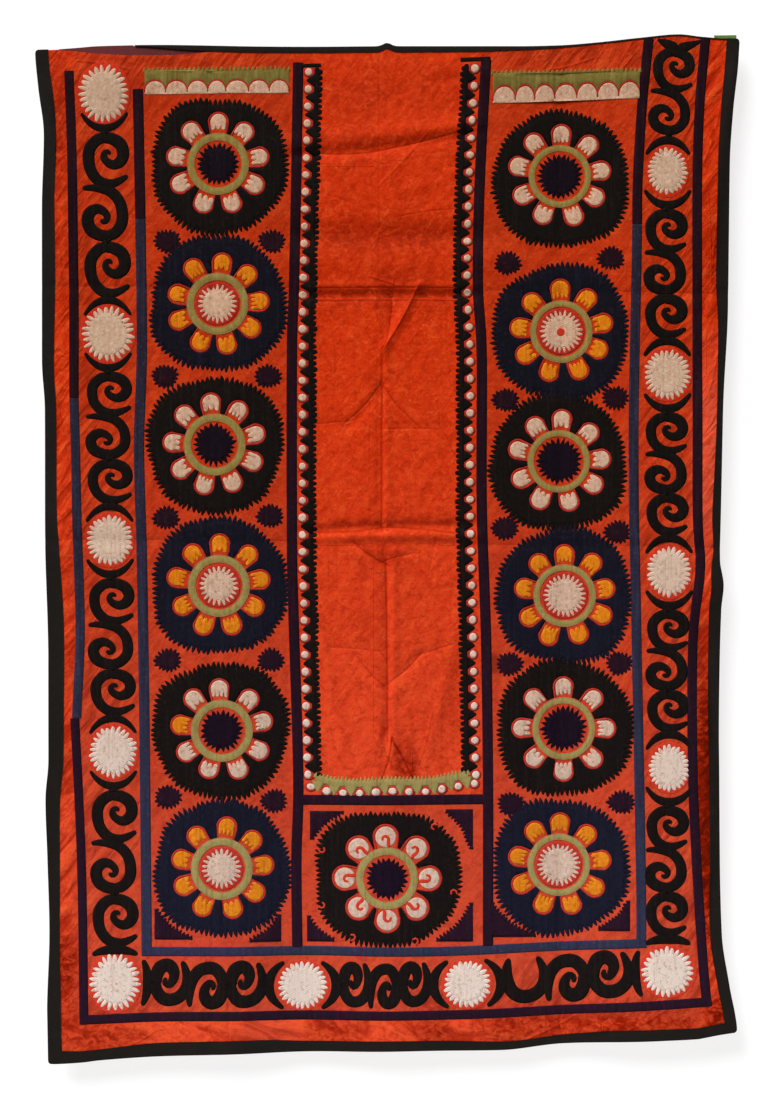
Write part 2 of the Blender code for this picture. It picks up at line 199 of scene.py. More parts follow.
def makeDrapeRecipe():
    # Lays a flat piece on the cloth: each point goes back until it meets the cloth, and keeps
    # the height it stood in front of y = 0
    recipe = Recipe("lay_on_the_cloth", Cloth="Object", Finish="Material")
    cloth = recipe.node("GeometryNodeObjectInfo", {"transform_space": "RELATIVE"},
                        {"Object": recipe.given["Cloth"]}, "Geometry")
    place = recipe.node("ShaderNodeSeparateXYZ",
                        sockets={0: recipe.node("GeometryNodeInputPosition")}).node.outputs
    start = recipe.node("ShaderNodeCombineXYZ", sockets={"X": place["X"], "Y": -0.3, "Z": place["Z"]})
    hit = recipe.node("GeometryNodeRaycast", sockets={
        "Target Geometry": cloth, "Source Position": start,
        "Ray Direction": (0.0, 1.0, 0.0), "Ray Length": 1.0}, output="Hit Position")
    depth = recipe.node("ShaderNodeSeparateXYZ", sockets={0: hit}, output="Y")
    sunk = recipe.node("ShaderNodeMath", {"operation": "ADD"}, {0: depth, 1: place["Y"]})
    there = recipe.node("ShaderNodeCombineXYZ", sockets={"X": place["X"], "Y": sunk, "Z": place["Z"]})
    laid = recipe.node("GeometryNodeSetPosition",
                       sockets={"Geometry": recipe.given["Geometry"], "Position": there})
    smooth = recipe.node("GeometryNodeSetShadeSmooth", sockets={"Geometry": laid})
    recipe.end(smooth, recipe.given["Finish"])
    return recipe


def makeRowRecipe():
    # Sets one small shape out along paths, standing on their left, each a little different
    recipe = Recipe("row_of_stitches", Path="Object", Shape="Object", Pitch="Float",
                    Spread="Float", Lean="Float", Seed="Int", Finish="Material")
    given = recipe.given
    path = recipe.node("GeometryNodeObjectInfo", {"transform_space": "RELATIVE"},
                       {"Object": given["Path"]}, "Geometry")
    shape = recipe.node("GeometryNodeObjectInfo", {"transform_space": "RELATIVE"},
                        {"Object": given["Shape"]}, "Geometry")
    even = recipe.node("GeometryNodeResampleCurve", {"mode": "LENGTH"},
                       {"Curve": path, "Length": given["Pitch"]})
    tangent = recipe.node("GeometryNodeInputTangent")
    along = recipe.node("FunctionNodeAlignRotationToVector", {"axis": "X", "pivot_axis": "Y"},
                        {"Vector": tangent})
    least = recipe.node("ShaderNodeMath", {"operation": "SUBTRACT"}, {0: 1.0, 1: given["Spread"]})
    most = recipe.node("ShaderNodeMath", {"operation": "ADD"}, {0: 1.0, 1: given["Spread"]})
    size = recipe.node("FunctionNodeRandomValue", {"data_type": "FLOAT_VECTOR"}, {
        0: recipe.node("ShaderNodeCombineXYZ", sockets={"X": least, "Y": 1.0, "Z": least}),
        1: recipe.node("ShaderNodeCombineXYZ", sockets={"X": most, "Y": 1.0, "Z": most}),
        "Seed": given["Seed"]})
    back = recipe.node("ShaderNodeMath", {"operation": "MULTIPLY"}, {0: given["Lean"], 1: -1.0})
    tilt = recipe.node("FunctionNodeRandomValue", {"data_type": "FLOAT"},
                       {2: back, 3: given["Lean"], "Seed": given["Seed"]}, 1)
    turned = recipe.node("FunctionNodeRotateRotation", {"rotation_space": "LOCAL"}, {
        "Rotation": along,
        "Rotate By": recipe.node("FunctionNodeEulerToRotation", sockets={
            "Euler": recipe.node("ShaderNodeCombineXYZ", sockets={"Y": tilt})})})
    row = recipe.node("GeometryNodeInstanceOnPoints", sockets={
        "Points": even, "Instance": shape, "Rotation": turned, "Scale": size})
    recipe.end(row, given["Finish"])
    return recipe


drapeRecipe = makeDrapeRecipe()
rowRecipe = makeRowRecipe()


# Plain mesh helpers

def meshFrom(name, points, faces):
    mesh = bpy.data.meshes.new(name)
    mesh.from_pydata(np.asarray(points, float).tolist(), [], [tuple(map(int, f)) for f in faces])
    mesh.update()
    return mesh


def objectFrom(name, mesh, shown=True):
    made = bpy.data.objects.new(name, mesh)
    if shown:
        bpy.context.scene.collection.objects.link(made)
    return made


def readTable(table, at):
    # a curve through the table's points that never overshoots them, level at both ends
    places, values = np.array(table, float).T
    at = np.clip(at, places[0], places[-1])
    spans = np.diff(places)
    chords = np.diff(values) / spans
    rising = chords[:-1] * chords[1:] > 0.0
    slopes = np.zeros(len(places))
    slopes[1:-1][rising] = (2.0 * chords[:-1] * chords[1:])[rising] / (chords[:-1] + chords[1:])[rising]
    low = np.clip(np.searchsorted(places, at, side="right") - 1, 0, len(spans) - 1)
    t = (at - places[low]) / spans[low]
    bow = t * (1.0 - t) * spans[low]
    bend = (slopes[low] - chords[low]) * (1.0 - t) - (slopes[low + 1] - chords[low]) * t
    return values[low] + chords[low] * t * spans[low] + bow * bend


# The cloth's shape: outline, folds and swellings, as in the solids

cloth = {
    "thickness": 0.0015,
    "gap": 0.0003,
    "sideRoll": 0.0057,
    "topRoll": 0.0010,
    "cornerRadius": 0.009,
    "peakHeight": 0.007,
    "peakReach": 0.011,
    "peakX": -0.001,
    "crimsonInset": 0.049,
    "crimsonEnd": -0.362,
    "topBindingStart": -0.520,
    "topTurning": 0.040,
    "drop": 2.07,
    "foldFade": 2.5,
    "placingRounds": 6,
    "evenTo": 0.640,  # how far aside the even columns go
}

# drop below the top edge, place across
leftSide = [
    (0.006, -0.726), (0.079, -0.720), (0.182, -0.708), (0.337, -0.712), (0.646, -0.712),
    (0.749, -0.706), (1.006, -0.7055), (1.264, -0.699), (1.470, -0.699), (1.552, -0.705),
    (1.676, -0.701), (1.830, -0.697), (1.985, -0.701), (2.096, -0.699)]
rightSide = [
    (-0.018, 0.7255), (0.028, 0.723), (0.131, 0.712), (0.234, 0.7055), (0.388, 0.7035),
    (0.543, 0.7015), (0.749, 0.691), (0.955, 0.687), (1.058, 0.685), (1.109, 0.692),
    (1.161, 0.687), (1.418, 0.683), (1.676, 0.685), (1.830, 0.689), (1.933, 0.7035),
    (2.032, 0.7190)]

# place across, height
topSide = [
    (-0.726, -0.006), (-0.675, -0.005), (-0.592, 0.001), (-0.469, 0.003), (-0.263, 0.000),
    (0.273, 0.001), (0.355, 0.003), (0.438, 0.009), (0.520, 0.0175), (0.6025, 0.025),
    (0.644, 0.0205), (0.677, 0.017), (0.7255, 0.0175)]
bottomSide = [
    (-0.699, -2.096), (-0.634, -2.093), (-0.592, -2.088), (-0.469, -2.080), (-0.263, -2.0735),
    (0.026, -2.069), (0.232, -2.067), (0.355, -2.055), (0.438, -2.051), (0.561, -2.0465),
    (0.644, -2.0425), (0.685, -2.034), (0.719, -2.030)]
windowEdge = [  # the raw top edge, where it sags and shows the crimson
    (-0.690, -0.007), (-0.654, -0.009), (-0.623, -0.0125), (-0.592, -0.0155), (-0.530, -0.0185),
    (-0.448, -0.0180), (-0.396, -0.0145), (-0.362, -0.0115)]

# place along, width of the binding's front leaf
leftLeaf = [
    (0.030, 0.027), (0.100, 0.029), (0.175, 0.025), (0.460, 0.027), (0.750, 0.023),
    (0.965, 0.025), (1.037, 0.029), (1.181, 0.033), (1.540, 0.030), (1.690, 0.025),
    (1.830, 0.021), (1.975, 0.028), (2.096, 0.029)]
rightLeaf = [
    (0.030, 0.027), (0.175, 0.025), (0.460, 0.026), (0.605, 0.018), (0.750, 0.013),
    (0.890, 0.016), (0.965, 0.018), (1.037, 0.014), (1.109, 0.026), (1.253, 0.024),
    (1.685, 0.021), (1.760, 0.024), (1.975, 0.025), (2.032, 0.025)]
topLeaf = [
    (-0.520, 0.0025), (-0.480, 0.005), (-0.415, 0.010), (-0.300, 0.0125), (0.100, 0.0125),
    (0.190, 0.011), (0.280, 0.008), (0.360, 0.005), (0.440, 0.0032), (0.700, 0.0030)]
bottomLeaf = [
    (-0.690, 0.027), (-0.600, 0.023), (-0.470, 0.028), (-0.260, 0.027), (-0.160, 0.022),
    (0.100, 0.021), (0.300, 0.017), (0.410, 0.021), (0.460, 0.024), (0.700, 0.023)]

# x from, z from, x to, z to, half width, height, bend
folds = [
    # storage creases down the whole cloth
    (-0.362, -0.030, -0.362, -2.050, 0.010, -0.0020, 0.000),
    (0.357, -0.030, 0.357, -2.030, 0.010, -0.0020, 0.000),
    # the first sagging fold, and the roll above it
    (-0.175, -0.222, 0.170, -0.178, 0.011, -0.0045, -0.008),
    (-0.185, -0.197, 0.175, -0.158, 0.020, 0.0035, -0.006),
    # the broad hollow below it
    (-0.180, -0.385, 0.180, -0.390, 0.024, -0.0050, 0.000),
    (-0.180, -0.440, 0.180, -0.440, 0.026, 0.0030, 0.000),
    # the upper cross crease
    (-0.165, -0.4955, 0.160, -0.4955, 0.009, 0.0035, 0.000),
    (-0.165, -0.5140, 0.160, -0.5140, 0.011, -0.0045, 0.000),
    (-0.690, -0.4940, 0.700, -0.5100, 0.012, -0.0020, 0.000),
    # the pucker that hangs from it
    (0.061, -0.4975, -0.005, -0.6210, 0.010, 0.0055, 0.000),
    (-0.028, -0.5200, -0.008, -0.6190, 0.008, 0.0030, 0.000),
    (0.010, -0.5150, 0.008, -0.5700, 0.009, -0.0040, 0.000),
    # the middle crease, upper part
    (-0.0155, -0.610, -0.0155, -0.990, 0.008, -0.0035, 0.000),
    (-0.0030, -0.610, -0.0030, -0.990, 0.009, 0.0025, 0.000),
    # the tent-shaped fold astride it
    (-0.011, -0.7035, -0.077, -0.7775, 0.009, -0.0035, 0.005),
    (-0.011, -0.7035, 0.046, -0.7820, 0.009, -0.0035, -0.005),
    (-0.077, -0.7775, -0.139, -0.7780, 0.008, -0.0025, 0.000),
    (0.010, -0.7840, 0.092, -0.7880, 0.008, -0.0025, 0.000),
    # the lower cross crease
    (-0.160, -1.0000, 0.160, -0.9880, 0.010, -0.0055, 0.006),
    (-0.160, -1.0150, 0.160, -1.0080, 0.011, 0.0045, 0.004),
    (-0.690, -1.0165, 0.690, -1.0330, 0.012, -0.0022, 0.000),
    # the small pucker under it
    (-0.063, -1.027, -0.009, -1.064, 0.008, -0.0040, -0.004),
    (0.001, -1.058, 0.046, -1.0435, 0.008, -0.0030, 0.000),
    # the middle crease, lower part, and the fork it ends in
    (-0.003, -1.050, -0.002, -1.425, 0.008, -0.0045, 0.002),
    (0.010, -1.050, 0.010, -1.425, 0.010, 0.0030, 0.002),
    (-0.003, -1.415, -0.012, -1.530, 0.008, -0.0030, 0.000),
    (0.001, -1.410, 0.059, -1.530, 0.009, -0.0055, 0.000),
    (0.006, -1.440, 0.022, -1.530, 0.010, 0.0030, 0.000),
    # the second tent
    (-0.057, -1.264, -0.009, -1.315, 0.009, -0.0030, -0.004),
    (0.011, -1.305, 0.067, -1.2535, 0.009, -0.0030, -0.004),
    (-0.104, -1.239, -0.026, -1.245, 0.008, -0.0022, 0.000),
    (0.067, -1.2535, 0.129, -1.233, 0.008, -0.0022, 0.000),
    # long soft folds that close in on the foot of the niche
    (-0.139, -1.180, -0.0875, -1.440, 0.013, 0.0030, -0.006),
    (0.139, -1.180, 0.083, -1.450, 0.013, 0.0030, 0.006),
    # folds in the two side margins and in the corners
    (-0.700, -0.120, -0.655, -0.420, 0.014, 0.0050, 0.004),
    (-0.668, -0.900, -0.648, -1.120, 0.013, 0.0050, 0.000),
    (0.712, -0.060, 0.665, -0.430, 0.014, 0.0055, -0.004),
    (0.662, -0.700, 0.640, -1.000, 0.014, 0.0060, 0.005),
    (0.640, -1.150, 0.672, -1.420, 0.014, -0.0055, 0.005),
    (0.130, -0.040, 0.560, -0.055, 0.020, 0.0040, -0.020),
    (0.200, -1.060, 0.350, -1.560, 0.020, 0.0035, 0.020)]

# x, z, reach across, reach down, height
swells = [
    (0.655, -0.800, 0.050, 0.130, 0.008), (0.660, -1.130, 0.045, 0.070, 0.010),
    (0.650, -1.480, 0.045, 0.170, 0.007), (-0.650, -0.360, 0.045, 0.200, 0.006),
    (-0.650, -0.980, 0.040, 0.080, 0.007), (-0.645, -1.320, 0.040, 0.130, 0.006),
    (-0.040, -0.300, 0.100, 0.090, 0.004), (-0.560, -0.060, 0.110, 0.060, 0.007),
    (0.690, -2.010, 0.110, 0.140, 0.016), (-0.690, -2.060, 0.090, 0.160, 0.009)]

# wave length, shift, height at the top, height at the hem
waves = [(0.460, 0.07, 0.0020, 0.0060), (0.275, -0.03, 0.0008, 0.0040)]

# small creases that only the scene shows, in the same columns as the folds
smallFolds = [
    (-0.150, -0.075, 0.020, -0.120, 0.006, -0.0012, 0.004),
    (0.030, -0.090, 0.150, -0.060, 0.006, -0.0012, -0.004),
    (-0.140, -0.270, -0.030, -0.330, 0.007, -0.0016, 0.004),
    (0.020, -0.300, 0.140, -0.260, 0.007, 0.0014, -0.005),
    (-0.130, -0.560, -0.050, -0.600, 0.006, -0.0012, 0.003),
    (0.050, -0.580, 0.130, -0.550, 0.006, -0.0012, 0.003),
    (-0.120, -0.860, -0.040, -0.900, 0.006, 0.0012, 0.000),
    (0.030, -0.880, 0.120, -0.850, 0.006, -0.0012, 0.003),
    (-0.130, -1.110, -0.050, -1.140, 0.006, -0.0014, 0.000),
    (0.040, -1.120, 0.130, -1.100, 0.006, 0.0014, 0.000),
    (-0.100, -1.370, -0.040, -1.480, 0.006, -0.0014, 0.004),
    (0.045, -1.340, 0.090, -1.480, 0.006, -0.0014, -0.004),
    (-0.560, -2.035, -0.300, -2.020, 0.007, 0.0022, 0.006),
    (-0.340, -2.045, -0.120, -2.030, 0.006, -0.0018, -0.004),
    (0.020, -2.020, 0.260, -2.035, 0.007, 0.0020, 0.005),
    (0.240, -2.010, 0.520, -2.000, 0.006, -0.0020, -0.006),
    (0.420, -2.030, 0.660, -1.990, 0.007, 0.0022, 0.004),
    (0.655, -0.200, 0.690, -0.300, 0.006, 0.0018, 0.003),
    (0.668, -1.560, 0.655, -1.800, 0.006, 0.0020, 0.003),
    (-0.680, -1.500, -0.660, -1.700, 0.006, 0.0018, 0.003),
    (-0.600, -0.035, -0.400, -0.045, 0.007, -0.0016, 0.003)]


# Sharp pressed lines, too fine for the mesh, which the satin's paint draws as bumps and as painted shade.
# Creases of one layer
# stay clear of each other: layer, x, drop, x, drop, bend and height, all in mm.
creases = [
    (0, -141, 220, 5, 211, -6, -1.3), (0, 5, 211, 180, 165, -3, -1.3), (0, -150, 498, 150, 498, 1, -1.5),
    (0, -690, 494, -200, 497, 1, -0.5), (0, 220, 502, 690, 510, 1, -0.5),
    (0, -147, 1001, -4, 991, -3, -1.5), (0, -4, 991, 146, 1004, 3, -1.5),
    (0, -690, 1016, -200, 1019, 1, -0.6), (0, 220, 1026, 690, 1033, 1, -0.6),
    (0, -139, 777, -84, 772, 0, -0.9), (0, 3, 788, 99, 788, 1, -0.9), (0, -104, 1239, -26, 1245, 1, -0.8),
    (0, 67, 1253, 129, 1233, 0, -0.8), (0, -147, 300, -60, 330, 3, -0.6), (0, 30, 350, 146, 335, 3, -0.6),
    (1, -17, 10, -17, 470, 0, -0.7), (1, 10, 508, -4, 613, 4, -1.3), (1, -12, 625, -12, 988, 0, -2.2),
    (1, -3, 1070, 0, 1425, 1, -2.0), (1, 103, 736, 108, 784, 2, -0.8), (1, 108, 784, 137, 839, 3, -0.8),
    (1, 99, 1021, 87, 1077, 0, -0.8), (1, -362, 30, -362, 2050, 0, -0.5), (1, 357, 30, 357, 2030, 0, -0.5),
    (1, -120, 560, -110, 680, 4, 0.6), (1, 120, 560, 128, 690, -4, 0.6), (1, -329, 1925, -326, 2060, 0, -0.9),
    (1, 172, 1900, 178, 2045, 0, -0.9), (1, -690, 300, -672, 470, 4, 1.0), (1, 690, 300, 668, 480, -4, 1.0),
    (2, 60, 500, -5, 618, 3, 1.8), (2, -22, 706, -80, 769, 4, -1.4), (2, -4, 706, 58, 776, -4, -1.4),
    (2, -64, 1025, -6, 1065, -4, -1.5), (2, 76, 185, -11, 280, 2, 0.8), (2, 12, 1432, 57, 1520, 2, -3.0),
    (2, -57, 1264, -9, 1315, -3, -1.2), (2, -28, 476, 12, 489, 0, 1.4), (2, 660, 70, 610, 190, 4, 1.0),
    (2, 420, 25, 330, 48, 3, 0.9), (2, 686, 120, 655, 230, 4, 1.0), (2, -700, 120, -668, 220, 4, 1.0),
    (2, 90, 1380, 60, 1490, 3, 0.8), (2, 560, 1990, 480, 2030, 3, 1.2), (2, -480, 2030, -560, 2070, 3, 1.1),
    (3, -24, 546, -8, 609, 2, -1.0), (3, 29, 410, 61, 494, 3, 0.9), (3, -6, 1061, 43, 1047, 2, -1.2),
    (3, 9, 1432, -9, 1505, 2, -2.2), (3, 11, 1305, 67, 1254, -3, -1.2), (3, 12, 489, 10, 507, 0, 1.2),
    (3, -150, 521, 148, 522, 1, 0.9), (3, 76, 359, 65, 415, 2, 0.7), (3, -120, 1400, -84, 1500, -3, 0.8),
    (3, 690, 560, 664, 700, 4, 0.9), (3, 700, 1740, 676, 1860, 4, 1.0), (3, -690, 700, -664, 830, 4, 0.9),
    (3, 380, 2000, 300, 2040, 3, 1.2), (3, -640, 30, -540, 46, 3, 0.9), (3, -240, 2020, -160, 2052, 3, 1.0),
    (3, 30, 2010, 90, 2050, -3, 1.0)]
crease = {"layers": 4, "halfWidth": 0.0055, "fade": 0.014, "own": 0.016, "far": 0.05, "least": 0.05}

# painted shade on the satin where it folds or turns from the light: x, drop, reach across and down
# in mm, and how dark; a patch below zero is painted light instead
paintedShadePatches = [
    (0, 190, 200, 15, 0.40), (0, 396, 200, 34, 0.75), (0, 512, 200, 26, 0.80),
    (30, 480, 60, 22, 0.6), (0, 985, 190, 15, 0.45), (-10, 1050, 60, 24, 0.5),
    (38, 1480, 26, 50, 0.9), (0, 90, 170, 40, 0.20), (-678, 190, 32, 180, 0.75),
    (-672, 430, 28, 90, 0.60), (-665, 1090, 28, 50, 0.45), (-662, 1289, 28, 50, 0.60),
    (-660, 1495, 28, 50, 0.55), (-668, 1900, 32, 80, 1.30), (-600, 2040, 90, 34, 0.95),
    (-108, 2030, 60, 40, 0.85),
    (98, 2030, 36, 40, 1.00), (300, 2020, 130, 45, 1.00), (450, 2020, 90, 45, 1.10),
    (560, 2010, 90, 45, 0.95), (688, 2008, 48, 56, 2.00), (-240, 2025, 70, 34, -0.50),
    (672, 420, 26, 150, 0.50), (672, 860, 40, 200, -1.25), (650, 1270, 30, 100, 0.70),
    (668, 1570, 34, 290, 2.60), (-560, 70, 70, 26, 0.35)]


def alongLine(x, z, xFrom, zFrom, xTo, zTo, bend):
    # how far places lie aside of a bowed line, and how far past its ends
    runX, runZ = xTo - xFrom, zTo - zFrom
    length = math.hypot(runX, runZ)
    along = ((x - xFrom) * runX + (z - zFrom) * runZ) / length
    aside = ((z - zFrom) * runX - (x - xFrom) * runZ) / length
    t = np.clip(along / length, 0.0, 1.0)
    return aside - bend * 4.0 * t * (1.0 - t), along - t * length


def foldHeight(x, z, xFrom, zFrom, xTo, zTo, halfWidth, height, bend):
    # a soft ridge or trough along a bowed line, fading out past its two ends
    aside, past = alongLine(x, z, xFrom, zFrom, xTo, zTo, bend)
    fade = np.exp(-(past / (cloth["foldFade"] * halfWidth)) ** 2)
    return height * fade * np.exp(-(aside / halfWidth) ** 2)


def storeCreasesAndShade(mesh):
    # keeps each layer's distance from the nearest crease and that crease's height on the points
    points = np.zeros(len(mesh.vertices) * 3)
    mesh.vertices.foreach_get("co", points)
    x, _, z = points.reshape(-1, 3).T
    for layer in range(crease["layers"]):
        best = np.full(len(x), crease["least"])
        kept = np.zeros((len(x), 3))
        kept[:, 0] = crease["far"]
        for at, *line in creases:
            if at != layer:
                continue
            x0, down0, x1, down1, bend, height = (n / 1000.0 for n in line)
            aside, past = alongLine(x, z, x0, -down0, x1, -down1, bend)
            fade = np.exp(-(past / crease["fade"]) ** 2)
            near = fade * np.exp(-(aside / crease["own"]) ** 2)
            chosen = near > best
            best = np.where(chosen, near, best)
            kept[chosen, 0] = aside[chosen]
            kept[chosen, 1] = (height * fade)[chosen]
        stored = mesh.attributes.new("crease%d" % layer, "FLOAT_VECTOR", "POINT")
        stored.data.foreach_set("vector", kept.ravel())
    # painted shade of the shaded patches: the strongest one at each point
    paintedShade = np.zeros(len(x))
    for atX, down, reachX, reachZ, dark in paintedShadePatches:
        away = ((x * 1000.0 - atX) / reachX) ** 4 + ((z * 1000.0 + down) / reachZ) ** 2
        patch = dark * np.exp(-away)
        paintedShade = np.where(np.abs(patch) > np.abs(paintedShade), patch, paintedShade)
    stored = mesh.attributes.new("paintedShade", "FLOAT", "POINT")
    stored.data.foreach_set("value", paintedShade)


def relief(x, z):
    # how far the cloth stands forward of the plane y = 0
    height = sum(foldHeight(x, z, *fold) for fold in folds + smallFolds)
    for atX, atZ, reachX, reachZ, swell in swells:
        height = height + swell * np.exp(-((x - atX) / reachX) ** 2 - ((z - atZ) / reachZ) ** 2)
    depth = np.clip(-z / cloth["drop"], 0.0, 1.0)
    for length, shift, atTop, atHem in waves:
        height = height + (atTop + (atHem - atTop) * depth ** 3) * np.cos(tau * (x - shift) / length)
    return height


def topEdge(x):
    peak = cloth["peakHeight"] * np.exp(-((x - cloth["peakX"]) / cloth["peakReach"]) ** 2)
    return readTable(topSide, x) + peak


def placeAcross(line, z):
    edge, inset = line
    distance = inset(z) if callable(inset) else inset
    if edge == "left":
        return readTable(leftSide, -z) + distance
    if edge == "right":
        return readTable(rightSide, -z) - distance
    return distance + 0.0 * z


def placeDown(line, x):
    edge, inset = line
    distance = inset(x) if callable(inset) else inset
    if edge == "top":
        return topEdge(x) - distance
    if edge == "bottom":
        return readTable(bottomSide, x) + distance
    return distance + 0.0 * x


def gridPlaces(columns, rows):
    # where each column meets each row, with the outer corners pulled in round
    x = np.zeros((len(columns), len(rows)))
    z = np.zeros_like(x)
    for _ in range(cloth["placingRounds"]):
        for j, row in enumerate(rows):
            z[:, j] = placeDown(row, x[:, j])
        for i, column in enumerate(columns):
            x[i] = placeAcross(column, z[i])
    fromSide = np.full_like(x, np.inf)
    fromEnd = np.full_like(x, np.inf)
    inwardX = np.zeros_like(x)
    inwardZ = np.zeros_like(x)
    for i, (edge, inset) in enumerate(columns):
        if edge != "across":
            fromSide[i] = inset(z[i]) if callable(inset) else inset
            inwardX[i] = 1.0 if edge == "left" else -1.0
    for j, (edge, inset) in enumerate(rows):
        if edge != "down":
            fromEnd[:, j] = inset(x[:, j]) if callable(inset) else inset
            inwardZ[:, j] = -1.0 if edge == "top" else 1.0
    radius = cloth["cornerRadius"]
    near = (np.maximum(fromSide, fromEnd) < radius) & (np.minimum(fromSide, fromEnd) >= 0.0)
    p = np.where(near, radius - fromSide, 1.0)
    q = np.where(near, radius - fromEnd, 1.0)
    pull = np.where(near, 1.0 - np.maximum(p, q) / np.hypot(p, q), 0.0)
    return x + p * pull * inwardX, z + q * pull * inwardZ


cellSides = [  # the step to the neighbour, and the corners of the face between
    ((-1, 0, 0), ((0, 0, 1), (0, 1, 1), (0, 1, 0), (0, 0, 0))),
    ((1, 0, 0), ((1, 1, 0), (1, 1, 1), (1, 0, 1), (1, 0, 0))),
    ((0, -1, 0), ((1, 0, 0), (1, 0, 1), (0, 0, 1), (0, 0, 0))),
    ((0, 1, 0), ((0, 1, 1), (1, 1, 1), (1, 1, 0), (0, 1, 0))),
    ((0, 0, -1), ((0, 1, 0), (1, 1, 0), (1, 0, 0), (0, 0, 0))),
    ((0, 0, 1), ((1, 0, 1), (1, 1, 1), (0, 1, 1), (0, 0, 1)))]


def cellSolid(name, columns, rows, filled, depths, materials, sharp=50.0):
    # A closed cloth solid from the filled cells of a grid. depths(i, j, k, x, z) is how far
    # behind the cloth's middle each corner lies; the first material is the front's.
    x, z = gridPlaces(columns, rows)
    corners = np.array(filled.shape) + 1
    padded = np.pad(filled, 1)
    faces, fronts = [], []
    for step, turn in cellSides:
        neighbour = padded[tuple(slice(1 + s, 1 + s + n) for s, n in zip(step, filled.shape))]
        cells = np.argwhere(filled & ~neighbour)
        quads = [np.ravel_multi_index((cells + corner).T, corners) for corner in turn]
        faces.append(np.stack(quads, axis=1))
        fronts.append(np.full(len(cells), step != (0, 0, -1)))
    faces = np.concatenate(faces)
    used, faces = np.unique(faces, return_inverse=True)
    faces = faces.reshape(-1, 4)
    i, j, k = np.unravel_index(used, corners)
    atX, atZ = x[i, j], z[i, j]
    points = np.stack([atX, depths(i, j, k, atX, atZ) - relief(atX, atZ), atZ], axis=1)
    mesh = meshFrom(name, points, faces)
    for material in materials:
        mesh.materials.append(material)
    if len(materials) > 1:
        mesh.polygons.foreach_set("material_index", np.concatenate(fronts).astype(np.int32))
    mesh.polygons.foreach_set("use_smooth", np.ones(len(faces), bool))
    mesh.set_sharp_from_angle(angle=math.radians(sharp))
    return objectFrom(name, mesh)


# The satin ground

satin = {
    "topColour": shade(205, 46, 8),
    "hemColour": shade(222, 72, 42),
    "deepColour": shade(150, 18, 0),
    "paleColour": shade(232, 92, 40),
    "stainColour": shade(70, 18, 10),
    # painted shade, deeper painted shade and painted light, for the shaded patches
    "dustAndShadeColour": shade(136, 18, 2),
    "paintedDeepShadeColour": shade(92, 10, 0),
    "paintedLightColour": shade(252, 104, 74),
    # painted shade between the motifs, at the top and at the hem
    "betweenMotifShadeTop": shade(142, 44, 18),
    "betweenMotifShadeHem": shade(140, 60, 50),
    "backColour": shade(158, 52, 32),
    "sheenTint": shade(255, 120, 44),
    "weftPitch": 0.0011,
    "warpPitch": 0.0008,
    "creaseBump": 0.0026,
    "wrinkleBump": 0.0070,
    "grainBump": 0.00010,
    "stainAt": (0.216, -1.272),
}


